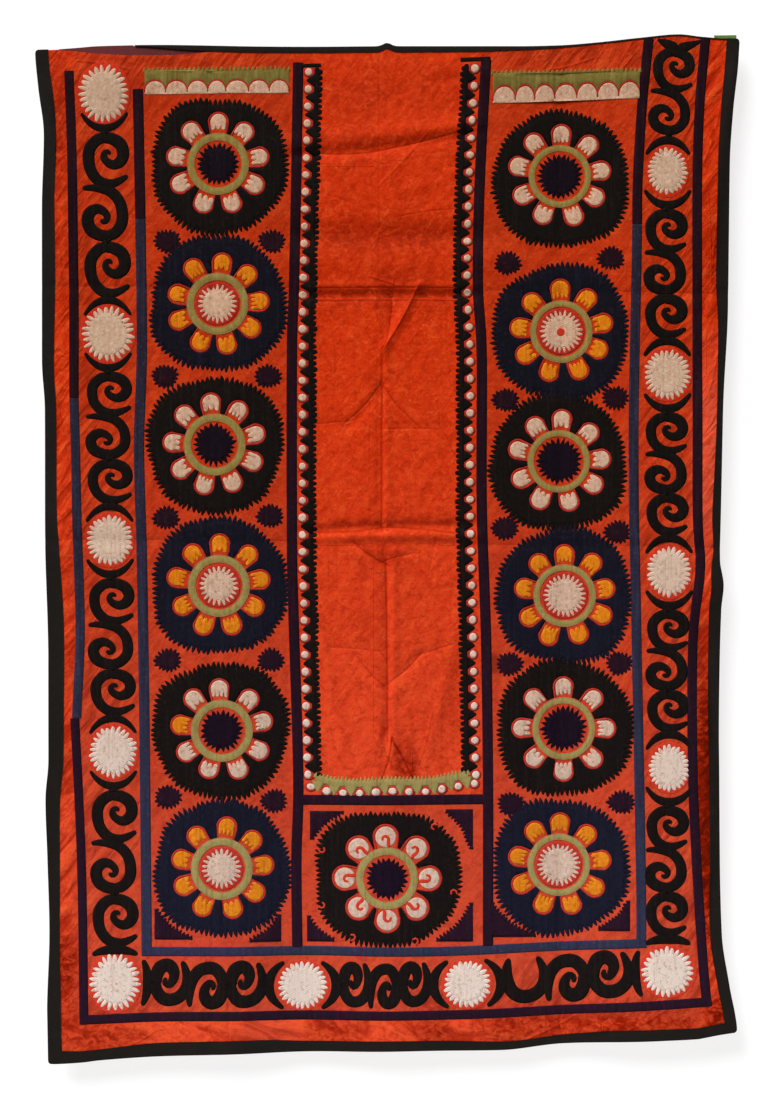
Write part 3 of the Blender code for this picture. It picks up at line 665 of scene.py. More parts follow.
def makeSatin(name, front):
    paint = Paint(name)
    down = (paint.z * -1.0).smoother(0.5, 2.05)
    if front:
        base = paint.mix(satin["topColour"], satin["hemColour"], down)
    else:
        base = paint.mix(satin["backColour"], satin["hemColour"], 0.25)
    deep, pale = satin["deepColour"], satin["paleColour"]
    below = paint.z * -1.0
    aside = paint.x.size()
    patches = paint.noise(5.0, 4.0, 0.6, paint.stretched(1.0, 1.0, 0.7))
    # woven sprays: small broken leaves, gathered in loose clusters
    clusters = paint.noise(16.0, 2.0, 0.5).smoother(0.46, 0.60)
    leaves = paint.noise(75.0, 2.0, 0.6, paint.stretched(1.0, 1.0, 1.4), lean=1.2)
    figures = clusters * leaves.smoother(0.56, 0.66)
    shaded = paint.noise(60.0, 3.0, 0.65, paint.stretched(1.0, 1.0, 1.3), lean=0.9)
    # slubs run with the weft, dye streaks with the warp
    slubs = paint.noise(60.0, 3.0, 0.65, paint.stretched(0.09, 0.09, 6.0))
    streaks = paint.noise(26.0, 4.0, 0.6, paint.stretched(3.0, 1.0, 0.12))
    # the weave and its dust, a few millimetres across
    speckle = paint.noise(210.0, 3.0, 0.7)
    # slanting wrinkles, strongest in the margins; in the colour they give painted shade in the hollows and
    # painted highlight on the ridges
    wrinkles = paint.noise(12.0, 3.0, 0.5, paint.slanted(-0.62, 4.5, 1.0, 1.0), lean=0.5)
    billows = paint.noise(11.0, 3.0, 0.55, paint.slanted(1.15, 2.6, 1.0, 1.0), lean=0.8)
    wrinkles = wrinkles + (billows - wrinkles) * below.smoother(1.96, 2.02)
    margins = aside.smoother(0.42, 0.62).larger(below.smoother(1.84, 1.98))
    top = below.smoother(0.16, 0.02) * aside.smoother(0.10, 0.30)
    margins = margins.larger(top) * 0.76 + 0.24
    # painted shade: between the motifs the ground is darker than in the plain niche and margins
    betweenMotifShade = aside.smoother(0.19, 0.21).larger(below.smoother(1.53, 1.56))
    betweenMotifShade = betweenMotifShade * aside.smoother(0.655, 0.635) * below.smoother(2.01, 1.985)
    betweenMotifShadeColour = paint.mix(satin["betweenMotifShadeTop"], satin["betweenMotifShadeHem"], down)
    # pressed creases, and the painted shade that lies in the folds and where the cloth turns away
    pressed = 0.0
    for layer in range(crease["layers"]):
        stored = paint.stored("crease%d" % layer, "Vector")
        away = paint.node("SeparateXYZ", sockets={"Vector": stored}, output="X")
        edge = (away.size() * (-1.0 / crease["halfWidth"]) + 1.0).larger(0.0)
        pressed = edge * edge * away.twin("Y") + pressed
    paintedShadeShare = paint.stored("paintedShade") * (shaded.smoother(0.35, 0.65) * 0.6 + 0.4)
    for colour, share in (
            (deep, patches.smoother(0.52, 0.8) * 0.45), (pale, patches.smoother(0.45, 0.2) * 0.25),
            (pale, figures * 0.45),
            (deep, shaded.smoother(0.50, 0.66) * 0.42), (pale, shaded.smoother(0.48, 0.34) * 0.26),
            (pale, slubs.smoother(0.58, 0.75) * 0.22), (deep, streaks.smoother(0.52, 0.78) * 0.30),
            (deep, speckle.smoother(0.50, 0.70) * 0.28), (pale, speckle.smoother(0.46, 0.30) * 0.22),
            # painted shade in the wrinkles' hollows and painted highlight on their ridges
            (deep, wrinkles.smoother(0.52, 0.36) * margins * 0.70),
            (pale, wrinkles.smoother(0.54, 0.70) * margins * 0.45),
            # painted shade between the motifs
            (betweenMotifShadeColour, betweenMotifShade * 0.36),
            # painted shade along the pressed creases
            (deep, (pressed.size() * 500.0).smoother(0.0, 1.0) * 0.55),
            # painted shade from the stored patches, deeper past 0.8, and painted light where they fall below
            # zero
            (satin["dustAndShadeColour"], paintedShadeShare), (satin["paintedDeepShadeColour"], paintedShadeShare - 0.8),
            (satin["paintedLightColour"], paintedShadeShare * -0.5)):
        base = paint.mix(base, colour, share)
    if front:
        # old stains, and one dark spot beside a star
        stains = paint.noise(2.3, 5.0, 0.7).smoother(0.64, 0.8)
        spotX, spotZ = paint.x - satin["stainAt"][0], paint.z - satin["stainAt"][1]
        spot = (spotX * spotX + spotZ * spotZ + patches * 0.0006).smoother(0.0011, 0.0004)
        worn = paint.mix(base, satin["stainColour"], (stains * 0.4).larger(spot * 0.6))
    else:
        worn = paint.mix(base, satin["paleColour"], 0.3)
    paint.feed("Base Color", worn)
    paint.feed("Roughness", 0.40 + streaks * 0.16 - figures * 0.10)
    paint.feed("Specular IOR Level", 0.40)
    paint.feed("Specular Tint", satin["sheenTint"])
    weft = (paint.z * (tau / satin["weftPitch"])).sine()
    warp = (paint.x * (tau / satin["warpPitch"])).sine()
    grain = weft * 0.5 + warp * 0.5 + slubs * 2.0
    crumple = paint.noise(22.0, 3.0, 0.55, lean=0.6) + paint.noise(70.0, 2.0, 0.5) * 0.3
    rumples = crumple * satin["creaseBump"] + wrinkles * margins * satin["wrinkleBump"]
    paint.bump(grain * satin["grainBump"] + rumples + pressed, 1.0)
    return paint.material


def makeGround():
    turn = cloth["sideRoll"] + cloth["gap"]
    columns = [("left", turn), ("left", 0.020), ("left", 0.035), ("left", cloth["crimsonInset"])]
    first = len(columns) - 1
    crimsonEnd, even = cloth["crimsonEnd"], cloth["evenTo"]
    for low, high, step in ((-even, crimsonEnd, 0.0093), (crimsonEnd, -0.190, 0.0091),
                            (-0.190, 0.190, 0.0045), (0.190, even, 0.0093)):
        count = round((high - low) / step)
        columns += [("across", low + (high - low) * n / count) for n in range(count)]
    last = min(n for n, (edge, x) in enumerate(columns) if edge == "across" and x >= crimsonEnd)
    columns += [("across", even), ("right", 0.035), ("right", 0.020), ("right", turn)]

    def windowInset(x):
        sag = np.maximum(topEdge(x) - readTable(windowEdge, x), cloth["topRoll"] + 2.0 * cloth["gap"])
        plain = readTable(topLeaf, x) + cloth["gap"] + 0.004
        return np.where(x <= crimsonEnd, sag, plain)

    def below(part):
        return lambda x: windowInset(x) + (0.045 - windowInset(x)) * part

    rows = [("top", cloth["topRoll"] + cloth["gap"]), ("top", windowInset)]
    rows += [("top", below(part)) for part in (0.33, 0.66, 1.0)]
    # rows lie closer across the main creases
    for high, low, step in ((-0.058, -0.150, 0.0092), (-0.150, -0.245, 0.0055),
                            (-0.245, -0.475, 0.0092), (-0.475, -0.540, 0.0048),
                            (-0.540, -0.975, 0.0092), (-0.975, -1.045, 0.0048),
                            (-1.045, -1.960, 0.0094)):
        count = round((high - low) / step)
        rows += [("down", high + (low - high) * n / count) for n in range(count)]
    rows += [("bottom", inset) for inset in (0.060, 0.050, 0.040, 0.030, 0.020, turn)]
    filled = np.ones((len(columns) - 1, len(rows) - 1, 1), bool)
    filled[first:last, 0, 0] = False  # the sag in front of the crimson

    def depths(i, j, k, x, z):
        return np.where(k == 0, -0.5, 0.5) * cloth["thickness"]

    finishes = [makeSatin("red_satin_front", True), makeSatin("red_satin_back", False)]
    return cellSolid("ground", columns, rows, filled, depths, finishes)


ground = makeGround()
storeCreasesAndShade(ground.data)
print("ground laid,", len(ground.data.polygons), "faces")


# Bindings and linings

tape = {
    "thickness": 0.0010,
    "edgeRound": 0.0022,
    "edgeLeast": 0.35,
    "puff": 0.00035,
    "colour": shade(23, 18, 14),
    "wornColour": shade(38, 32, 29),
    "dustAndShadeColour": shade(62, 54, 48),
    "threadPitch": 0.0012,
    "alongStep": 0.007,
}


def makeTapeFinish():
    paint = Paint("black_binding_cotton")
    mottle = paint.noise(38.0, 4.0, 0.6)
    base = paint.mix(tape["colour"], tape["wornColour"], mottle.smoother(0.50, 0.80) * 0.55)
    lint = paint.noise(420.0, 2.0, 0.7)
    base = paint.mix(base, tape["dustAndShadeColour"], lint.smoother(0.64, 0.80) * 0.45)
    fade = paint.noise(7.0, 3.0, 0.6)
    base = paint.mix(base, tape["wornColour"], fade.smoother(0.5, 0.8) * 0.35)
    paint.feed("Base Color", base)
    paint.feed("Roughness", 0.72 + mottle * 0.2)
    paint.feed("Specular IOR Level", 0.12)
    across = (paint.x * (tau / tape["threadPitch"])).sine()
    down = (paint.z * (tau / tape["threadPitch"])).sine()
    crumple = paint.noise(60.0, 3.0, 0.6)
    paint.bump(across * down * 0.00012 + crumple * 0.0012, 1.0)
    return paint.material


def layerDepth(k):
    # the tape's front leaf, the cloth between, and its back leaf
    inner = cloth["thickness"] / 2.0 + cloth["gap"]
    return np.choose(k, (-inner - tape["thickness"], -inner, inner, inner + tape["thickness"]))


def tapeDepths(insets, ends, room=None):
    # rounds the folded edge and the ends, and lets the front leaf puff up a little
    def depths(i, j, k, x, z):
        depth = layerDepth(k)
        edge = insets(i, j, x, z)
        end = ends(i, j, x, z)
        reach = np.clip(np.minimum(edge, end) / tape["edgeRound"], 0.0, 1.0)
        rounding = np.sqrt(1.0 - (1.0 - reach) ** 2)
        outer = (k == 0) | (k == 3)
        thinned = tape["edgeLeast"] + (1.0 - tape["edgeLeast"]) * rounding
        depth = np.where(outer, depth * thinned, depth)
        ripple = np.sin(x * 61.0 + z * 47.0) * np.sin(x * 23.0 - z * 83.0)
        depth = np.where(k == 0, depth - tape["puff"] * reach * (0.6 + 0.5 * ripple), depth)
        if room is not None:
            depth = np.where((k >= 2) & room(x, z), depth + tape["thickness"] + cloth["gap"], depth)
        return depth
    return depths


def sideInsets(leaf):
    parts = [0.0, 0.0006, 0.0016, 0.0032, cloth["sideRoll"]]
    parts += [lambda z: leaf(z) * 0.5 + 0.001, lambda z: leaf(z) * 0.78, lambda z: leaf(z) - 0.0012, leaf]
    return parts


def endRows(low, high):
    # close rows in the corners, even ones between
    rows = [("top", inset) for inset in (0.0, 0.0005, cloth["topRoll"], 0.003, 0.006, 0.009, 0.016)]
    count = round((high - low) / tape["alongStep"])
    rows += [("down", high + (low - high) * n / count) for n in range(count + 1)]
    rows += [("bottom", inset) for inset in (0.024, 0.016, 0.009, cloth["sideRoll"], 0.003, 0.001, 0.0)]
    return rows


def makeSideTape(name, edge, table, finish):
    leaf = lambda z: readTable(table, -z)
    insets = sideInsets(leaf)
    columns = [(edge, inset) for inset in insets]
    rows = endRows(-1.985, -0.030)
    if edge == "right":
        columns.reverse()
    across, down = len(columns) - 1, len(rows) - 1
    filled = np.zeros((across, down, 3), bool)
    filled[:, :, 0] = True
    filled[:, :, 2] = True
    roll = insets.index(cloth["sideRoll"])
    filled[:roll, :, 1] = edge == "left"
    if edge == "right":
        filled[across - roll:, :, 1] = True
    filled[:, :2, 1] = True       # closed over the top edge
    filled[:, -4:, 1] = True      # and over the hem

    def fromEdge(i, j, x, z):
        side = readTable(leftSide, -z) if edge == "left" else readTable(rightSide, -z)
        return np.abs(x - side)

    def fromEnd(i, j, x, z):
        return np.minimum(topEdge(x) - z, z - readTable(bottomSide, x))

    return cellSolid(name, columns, rows, filled, tapeDepths(fromEdge, fromEnd), [finish], 75.0)


def overCrimson(x, z):
    left = readTable(leftSide, -z) + cloth["crimsonInset"]
    return (x > left - 0.001) & (x < cloth["crimsonEnd"] + 0.001)


def makeTopTape(finish):
    start, last = cloth["topBindingStart"], lambda z: readTable(rightLeaf, -z) + cloth["gap"]
    end = cloth["evenTo"]
    places = np.linspace(start, end, round((end - start) / tape["alongStep"]) + 1)
    places[np.argmin(np.abs(places - cloth["crimsonEnd"]))] = cloth["crimsonEnd"]
    columns = [("across", x) for x in places] + [("right", lambda z: last(z) + 0.012), ("right", last)]
    leaf = lambda x: readTable(topLeaf, x)
    rows = [("top", inset) for inset in (
        0.0, 0.0004, cloth["topRoll"], lambda x: leaf(x) * 0.6 + 0.0004,
        leaf, 0.020, 0.030, cloth["topTurning"])]
    filled = np.zeros((len(columns) - 1, len(rows) - 1, 3), bool)
    filled[:, :4, 0] = True
    filled[:, :2, 1] = True
    filled[:, :, 2] = True
    fromEdge = lambda i, j, x, z: topEdge(x) - z
    far = lambda i, j, x, z: np.full_like(x, 1.0)
    return cellSolid("binding_top_tape", columns, rows, filled, tapeDepths(fromEdge, far, overCrimson),
                     [finish], 75.0)


def makeBottomTape(finish):
    end = cloth["evenTo"]
    places = np.linspace(-end, end, round(2.0 * end / tape["alongStep"]) + 1)

    def past(table, gap):
        # just inside the leaf of the binding at that side
        return lambda z: readTable(table, -z) + gap

    butt = cloth["gap"]
    columns = [("left", past(leftLeaf, butt)), ("left", past(leftLeaf, 0.012))]
    columns += [("across", x) for x in places]
    columns += [("right", past(rightLeaf, 0.012)), ("right", past(rightLeaf, butt))]
    leaf = lambda x: readTable(bottomLeaf, x)
    parts = sideInsets(leaf)[::-1]
    rows = [("bottom", part) for part in parts]
    filled = np.zeros((len(columns) - 1, len(rows) - 1, 3), bool)
    filled[:, :, 0] = True
    filled[:, :, 2] = True
    filled[:, parts.index(cloth["sideRoll"]):, 1] = True
    fromEdge = lambda i, j, x, z: z - readTable(bottomSide, x)
    far = lambda i, j, x, z: np.full_like(x, 1.0)
    return cellSolid("binding_bottom_tape", columns, rows, filled, tapeDepths(fromEdge, far),
                     [finish], 75.0)


lining = {
    "thickness": 0.0010,
    "crimson": shade(88, 5, 10),
    "crimsonPale": shade(118, 14, 18),
    "green": shade(88, 124, 46),
    "greenPale": shade(150, 172, 84),
    "greenInset": 0.052,
    "greenRise": 0.007,
    "weave": 0.0011,
}


def makeCotton(name, colour, pale):
    paint = Paint(name)
    threads = paint.noise(240.0, 3.0, 0.7, paint.stretched(1.0, 1.0, 0.25))
    patches = paint.noise(30.0, 3.0, 0.6)
    base = paint.mix(colour, pale, threads.smoother(0.5, 0.75) * 0.5)
    paint.feed("Base Color", paint.mix(base, pale, patches.smoother(0.55, 0.8) * 0.5))
    paint.feed("Roughness", 0.75 + threads * 0.15)
    weave = (paint.x * (tau / lining["weave"])).sine() * (paint.z * (tau / lining["weave"])).sine()
    paint.bump(weave * 0.0001 + patches * 0.0012, 1.0)
    return paint.material


def makeCrimson():
    places = np.linspace(-0.650, cloth["crimsonEnd"], 42)
    columns = [("left", cloth["crimsonInset"])] + [("across", x) for x in places[2:]]
    start = min(n for n, (edge, x) in enumerate(columns)
                if edge == "across" and x > cloth["topBindingStart"])
    rows = [("top", 0.0), ("top", cloth["topRoll"] + cloth["gap"])]
    rows += [("top", inset) for inset in (0.006, 0.012, 0.019, 0.027, cloth["topTurning"])]
    filled = np.ones((len(columns) - 1, len(rows) - 1, 1), bool)
    filled[start - 1:, 0, 0] = False
    inner = cloth["thickness"] / 2.0 + cloth["gap"]
    depths = lambda i, j, k, x, z: inner + k * lining["thickness"]
    finish = makeCotton("crimson_cotton", lining["crimson"], lining["crimsonPale"])
    return cellSolid("lining_crimson_strip", columns, rows, filled, depths, [finish])


def makeGreen():
    insets = np.linspace(lining["greenInset"], cloth["sideRoll"] + cloth["gap"], 12)
    columns = [("right", inset) for inset in insets]
    rows = [("top", inset) for inset in (
        -lining["greenRise"], -0.003, 0.0, 0.006, 0.014, 0.022, 0.031, cloth["topTurning"])]
    filled = np.ones((len(columns) - 1, len(rows) - 1, 1), bool)
    inner = cloth["thickness"] / 2.0 + 2.0 * cloth["gap"] + tape["thickness"]
    depths = lambda i, j, k, x, z: inner + k * lining["thickness"]
    finish = makeCotton("green_cotton", lining["green"], lining["greenPale"])
    return cellSolid("lining_green_strip", columns, rows, filled, depths, [finish])


tapeFinish = makeTapeFinish()
leftTape = makeSideTape("binding_left_tape", "left", leftLeaf, tapeFinish)
rightTape = makeSideTape("binding_right_tape", "right", rightLeaf, tapeFinish)
topTape = makeTopTape(tapeFinish)
bottomTape = makeBottomTape(tapeFinish)
crimsonStrip = makeCrimson()
greenStrip = makeGreen()
print("bindings and linings folded on")


# Embroidery: flat stitched shapes, laid on the cloth afterwards

stitch = {
    "lift": 0.0010,
    "sunk": -0.0007,
    "shoulder": 0.0012,
    "gridStep": 0.0085,
    "ribbonStep": 0.0045,
}


def ring(centre, radius, count=64, start=0.0, wide=1.0, tall=1.0):
    angles = start + tau * np.arange(count) / count
    radii = radius(angles) if callable(radius) else radius
    across, up = wide * radii * np.cos(angles), tall * radii * np.sin(angles)
    return np.stack([centre[0] + across, centre[1] + up], axis=1)


def insideLoops(points, loops):
    inside = np.zeros(len(points), bool)
    x, z = points[:, :1], points[:, 1:]
    for loop in loops:
        a, b = loop, np.roll(loop, -1, axis=0)
        level = np.where(a[:, 1] == b[:, 1], 1e-12, b[:, 1] - a[:, 1])
        spans = (a[:, 1] > z) != (b[:, 1] > z)
        crosses = spans & (x < (b[:, 0] - a[:, 0]) * (z - a[:, 1]) / level + a[:, 0])
        inside ^= crosses.sum(axis=1) % 2 == 1
    return inside


class Stitching:
    # what is stitched in one colour of thread
    def __init__(self, name, finish, lift=1.0):
        self.name = name
        self.finish = finish
        self.lift = stitch["lift"] * lift
        self.points, self.faces, self.rows = [], [], []
        self.total = 0

    def add(self, points, faces):
        self.points.append(points)
        self.faces += [tuple(int(n) + self.total for n in face) for face in faces]
        self.total += len(points)

    def patch(self, *loops, step=None):
        # fills the area between closed outlines, rounded over at its edges
        step = step or stitch["gridStep"]
        edge = np.concatenate(loops)
        low, high = edge.min(axis=0), edge.max(axis=0)
        gridX, gridZ = np.meshgrid(np.arange(low[0], high[0], step),
                                   np.arange(low[1], high[1], step * 0.87))
        gridX[1::2] += step / 2.0
        spots = np.stack([gridX.ravel(), gridZ.ravel()], axis=1)
        shoulders = []
        for loop in loops:
            along = np.roll(loop, -1, axis=0) - np.roll(loop, 1, axis=0)
            along /= np.maximum(np.linalg.norm(along, axis=1, keepdims=True), 1e-9)
            aside = np.stack([-along[:, 1], along[:, 0]], axis=1) * stitch["shoulder"]
            shoulders += [loop + aside, loop - aside]
        kept = []
        for group, room in ((np.concatenate(shoulders), stitch["shoulder"] * 0.8),
                            (spots, step * 0.45)):
            group = group[insideLoops(group, loops)]
            if len(group):
                gaps = np.linalg.norm(group[:, None] - edge[None], axis=2).min(axis=1)
                kept.append(group[gaps > room])
        flat = np.concatenate([edge, *kept])
        lines, first = [], 0
        for loop in loops:
            numbers = np.arange(first, first + len(loop))
            lines += list(zip(numbers.tolist(), np.roll(numbers, -1).tolist()))
            first += len(loop)
        made = delaunay_2d_cdt([tuple(p) for p in flat.tolist()], lines, [], 0, 1e-7)
        places = np.array([tuple(p) for p in made[0]])
        onEdge = np.array([any(n < len(edge) for n in source) for source in made[3]])
        faces = np.array(made[2])
        middles = places[faces].mean(axis=1)
        faces = faces[insideLoops(middles, loops)]
        height = np.where(onEdge, 0.45, 1.0) * self.lift
        top = np.stack([places[:, 0], -height, places[:, 1]], axis=1)
        below = top.copy()
        below[:, 1] = -stitch["sunk"]
        directed = {(int(f[n]), int(f[(n + 1) % 3])) for f in faces for n in range(3)}
        rim = [(a, b) for a, b in directed if (b, a) not in directed]
        count = len(top)
        skirt = [(b, a, a + count, b + count) for a, b in sorted(rim)]
        self.add(np.concatenate([top, below]), [tuple(f) for f in faces] + skirt)

    def ribbon(self, points, widths, square=False):
        # a stitched line of changing width, domed across and rounded off at both ends
        points = np.asarray(points, float)
        steps = np.linalg.norm(np.diff(points, axis=0), axis=1)
        length = np.concatenate([[0.0], np.cumsum(steps)])
        widths = np.broadcast_to(widths, (len(points),)).astype(float)
        ends = (widths[0] / 2.0, widths[-1] / 2.0)
        count = max(int(length[-1] / stitch["ribbonStep"]), 4)
        marks = np.linspace(ends[0], length[-1] - ends[1], count)
        caps = np.array([0.0, 0.05, 0.2, 0.5])
        marks = np.concatenate([caps * ends[0], marks, length[-1] - caps[::-1] * ends[1]])
        centre = np.stack([np.interp(marks, length, points[:, n]) for n in (0, 1)], axis=1)
        half = np.interp(marks, length, widths) / 2.0
        for end, distance in zip(ends, (marks, length[-1] - marks)):
            t = np.clip(distance / (0.0006 if square else end), 0.0, 1.0)
            half = half * (np.sqrt(1.0 - (1.0 - t) ** 2) * 0.97 + 0.03)
        along = np.gradient(centre, axis=0)
        along /= np.linalg.norm(along, axis=1, keepdims=True)
        left = np.stack([-along[:, 1], along[:, 0]], axis=1)
        section = [(1.0, stitch["sunk"]), (1.0, 0.45 * self.lift), (0.72, self.lift),
                   (0.0, 1.08 * self.lift),
                   (-0.72, self.lift), (-1.0, 0.45 * self.lift), (-1.0, stitch["sunk"])]
        grid = []
        for side, lift in section:
            at = centre + left * (half * side)[:, None]
            grid.append(np.stack([at[:, 0], np.full(len(at), -lift), at[:, 1]], axis=1))
        grid = np.stack(grid, axis=1)
        rows, across = grid.shape[:2]
        faces = []
        for r in range(rows - 1):
            for c in range(across - 1):
                n = r * across + c
                faces.append((n + across, n, n + 1, n + across + 1))
        self.add(grid.reshape(-1, 3), faces)

    def row(self, paths, shape, pitch, spread=0.12, lean=0.08):
        # small shapes along paths, to their left; paths are (points, closed) pairs
        if paths:
            self.rows.append((paths, shape, pitch, spread, lean))

    def finishPiece(self):
        host = objectFrom(self.name + "_flat", meshFrom(self.name + "_flat", np.zeros((0, 3)), []))
        for n, (paths, shape, pitch, spread, lean) in enumerate(self.rows):
            path = makePath(self.name + "_path", paths)
            mesh = rowRecipe.make(host, {
                "Path": path, "Shape": shape, "Pitch": pitch, "Spread": spread,
                "Lean": lean, "Seed": seed + n, "Finish": self.finish})
            points = np.zeros(len(mesh.vertices) * 3)
            mesh.vertices.foreach_get("co", points)
            points = points.reshape(-1, 3)
            depth = points[:, 1]
            points[:, 1] = np.where(depth < 0.0, depth * self.lift / stitch["lift"], depth)
            self.add(points, [tuple(face.vertices) for face in mesh.polygons])
            bpy.data.objects.remove(path)
        host.data = meshFrom(self.name, np.concatenate(self.points), self.faces)
        laid = drapeRecipe.make(host, {"Cloth": ground, "Finish": self.finish})
        bpy.data.objects.remove(host)
        laid.name = self.name
        piece = objectFrom(self.name, laid)
        print("  stitched", self.name, len(laid.polygons), "faces")
        return piece


def makePath(name, paths):
    curve = bpy.data.curves.new(name, "CURVE")
    curve.dimensions = "3D"
    for points, closed in paths:
        spline = curve.splines.new("POLY")
        spline.points.add(len(points) - 1)
        for spot, (x, z) in zip(spline.points, points):
            spot.co = (x, 0.0, z, 1.0)
        spline.use_cyclic_u = closed
    return objectFrom(name, curve)


def toothShape(name, width, height, bulge=1.3, tip=0.10, overlap=0.003):
    # A stitched tooth that stands on y = 0 and points up z: bulge 1 is a straight sided
    # triangle, and more is a fuller finger.
    parts = np.array([0.0, 0.25, 0.5, 0.75, 0.92, 1.0])
    half = width / 2.0 * (tip + (1.0 - tip) * (1.0 - parts ** bulge))
    heights = np.concatenate([[-overlap], parts[1:] * height])
    lifts = np.array([1.0, 1.0, 1.0, 0.9, 0.7, 0.3]) * stitch["lift"]
    points, faces = [], []
    for z, w, lift in zip(heights, half, lifts):
        for side, part in ((-1.0, None), (-1.0, 0.45), (-0.45, 1.0),
                           (0.45, 1.0), (1.0, 0.45), (1.0, None)):
            points.append((side * w, -(stitch["sunk"] if part is None else part * lift), z))
    for r in range(len(parts) - 1):
        for c in range(5):
            n = r * 6 + c
            faces.append((n, n + 1, n + 7, n + 6))
    return objectFrom(name, meshFrom(name, points, faces), shown=False)


def roundShape(name, radius, wide=1.0, offset=0.0, sides=12):
    # a stitched dot, domed, standing offset to the left of its path
    points = [(0.0, -stitch["lift"] * 1.05, offset)]
    for reach, lift in ((0.6, stitch["lift"]), (1.0, stitch["lift"] * 0.45), (1.0, stitch["sunk"])):
        for n in range(sides):
            angle = tau * n / sides
            points.append((radius * wide * reach * math.cos(angle), -lift,
                           offset + radius * reach * math.sin(angle)))
    faces = [(0, 1 + n, 1 + (n + 1) % sides) for n in range(sides)]
    for layer in (0, 1):
        for n in range(sides):
            a, b = 1 + layer * sides + n, 1 + layer * sides + (n + 1) % sides
            faces.append((a, a + sides, b + sides, b))
    return objectFrom(name, meshFrom(name, points, faces), shown=False)


thread = {
    "ribPitch": 0.0021,
    "tickPitch": 0.0046,
    "ribBump": 0.00020,
    "couchBump": 0.00014,
    "fuzz": 0.00016,
    "gloss": 0.06,
    "hemBlendFrom": 0.5,
    "hemBlendTo": 2.0,
    "groundColour": shade(160, 40, 20),
}


def makeThread(name, colour, pale, dark, hem, streak=0.40, bare=0.12, grain=1.0):
    # silk laid one way and couched down, with streaks where one skein follows another
    paint = Paint(name)
    wander = paint.noise(24.0, 2.0)
    phase = paint.x * (tau / thread["ribPitch"]) + wander * 9.0
    rib = phase.sine() * 0.5 + 0.5
    tick = (paint.z * (tau / thread["tickPitch"]) + phase * 0.25).sine().smoother(0.35, 1.0)
    drawn = paint.stretched(5.0, 1.0, 0.22)
    skeins = paint.noise(34.0, 3.0, 0.6, drawn)
    hairs = paint.noise(160.0, 2.0, 0.6, drawn)
    wear = paint.noise(14.0, 4.0, 0.65)
    # the colour changes towards the hem by height alone
    towardHem = (paint.z * -1.0).smoother(thread["hemBlendFrom"], thread["hemBlendTo"])
    stitches = paint.noise(150.0, 3.0, 0.7)
    specks = paint.noise(210.0, 2.0, 0.6, paint.stretched(1.0, 1.0, 0.6))
    base = paint.mix(colour, hem, towardHem)
    # couching ticks, single stitches and bare spots where the ground shows through come last
    for tone, share in (
            (pale, skeins.smoother(0.50, 0.72) * streak), (dark, skeins.smoother(0.50, 0.30) * streak),
            # the dark between the ribs is painted shade in their grooves
            (pale, hairs.smoother(0.58, 0.78) * 0.30), (dark, (1.0 - rib) * 0.30),
            (pale, wear.smoother(0.60, 0.80) * 0.25), (dark, tick * 0.30),
            (dark, stitches.smoother(0.52, 0.72) * (0.45 * grain)),
            (pale, stitches.smoother(0.46, 0.30) * (0.35 * grain)),
            (thread["groundColour"], specks.smoother(0.63, 0.74) * bare)):
        base = paint.mix(base, tone, share)
    paint.feed("Base Color", base)
    paint.feed("Roughness", 0.62 + hairs * 0.22 + tick * 0.06)
    paint.feed("Specular IOR Level", thread["gloss"])
    height = rib * thread["ribBump"] - tick * thread["couchBump"] + hairs * thread["fuzz"]
    paint.bump(height, 1.0)
    return paint.material


# short name, material, then red, green and blue from 0 to 255 at the top, where paler, where
# darker and at the hem, and what else sets the thread apart
skeins = [
    ("black", "black_silk", (17, 11, 8), (40, 31, 25), (7, 5, 4), (22, 16, 15), {"bare": 0.05}),
    ("navy", "navy_silk", (16, 14, 22), (36, 34, 54), (8, 7, 14), (23, 24, 42), {"bare": 0.05}),
    ("purple", "purple_silk", (32, 9, 17), (56, 28, 44), (15, 5, 11), (38, 16, 34), {"bare": 0.06}),
    ("plum", "plum_silk", (17, 7, 16), (38, 20, 36), (9, 3, 9), (26, 11, 31), {"bare": 0.05}),
    ("slate", "slate_blue_silk", (38, 33, 46), (66, 68, 96), (22, 20, 30), (47, 50, 76), {}),
    ("olive", "olive_silk", (145, 123, 62), (172, 156, 96), (104, 92, 40), (160, 146, 92),
     {"bare": 0.20}),
    ("moss", "moss_silk", (124, 108, 48), (150, 140, 82), (86, 76, 30), (124, 108, 48),
     {"streak": 0.60, "bare": 0.30}),
    ("cream", "cream_silk", (206, 172, 144), (226, 204, 184), (160, 116, 90), (228, 214, 205),
     {"streak": 0.30, "bare": 0.32, "grain": 1.7}),
    ("ecru", "ecru_silk", (208, 168, 138), (224, 196, 172), (150, 104, 78), (206, 184, 170),
     {"streak": 0.35, "bare": 0.34, "grain": 1.8}),
    ("yellow", "yellow_silk", (216, 122, 8), (236, 160, 44), (162, 66, 4), (216, 130, 26),
     {"streak": 0.50, "grain": 1.4}),
    ("rose", "rose_red_silk", (172, 40, 28), (200, 70, 52), (126, 20, 14), (190, 54, 44), {}),
    ("rust", "rust_silk", (196, 46, 22), (218, 80, 50), (154, 28, 12), (208, 62, 42), {}),
    ("tan", "tan_silk", (160, 104, 60), (184, 136, 88), (122, 78, 42), (172, 126, 84), {})]
finishes = {short: makeThread(name, *(shade(*tone) for tone in tones), **other)
            for short, name, *tones, other in skeins}


def drop(x, down):
    # a place on the front, given across and as a drop below the top edge, in millimetres
    return np.array([x / 1000.0, -down / 1000.0])


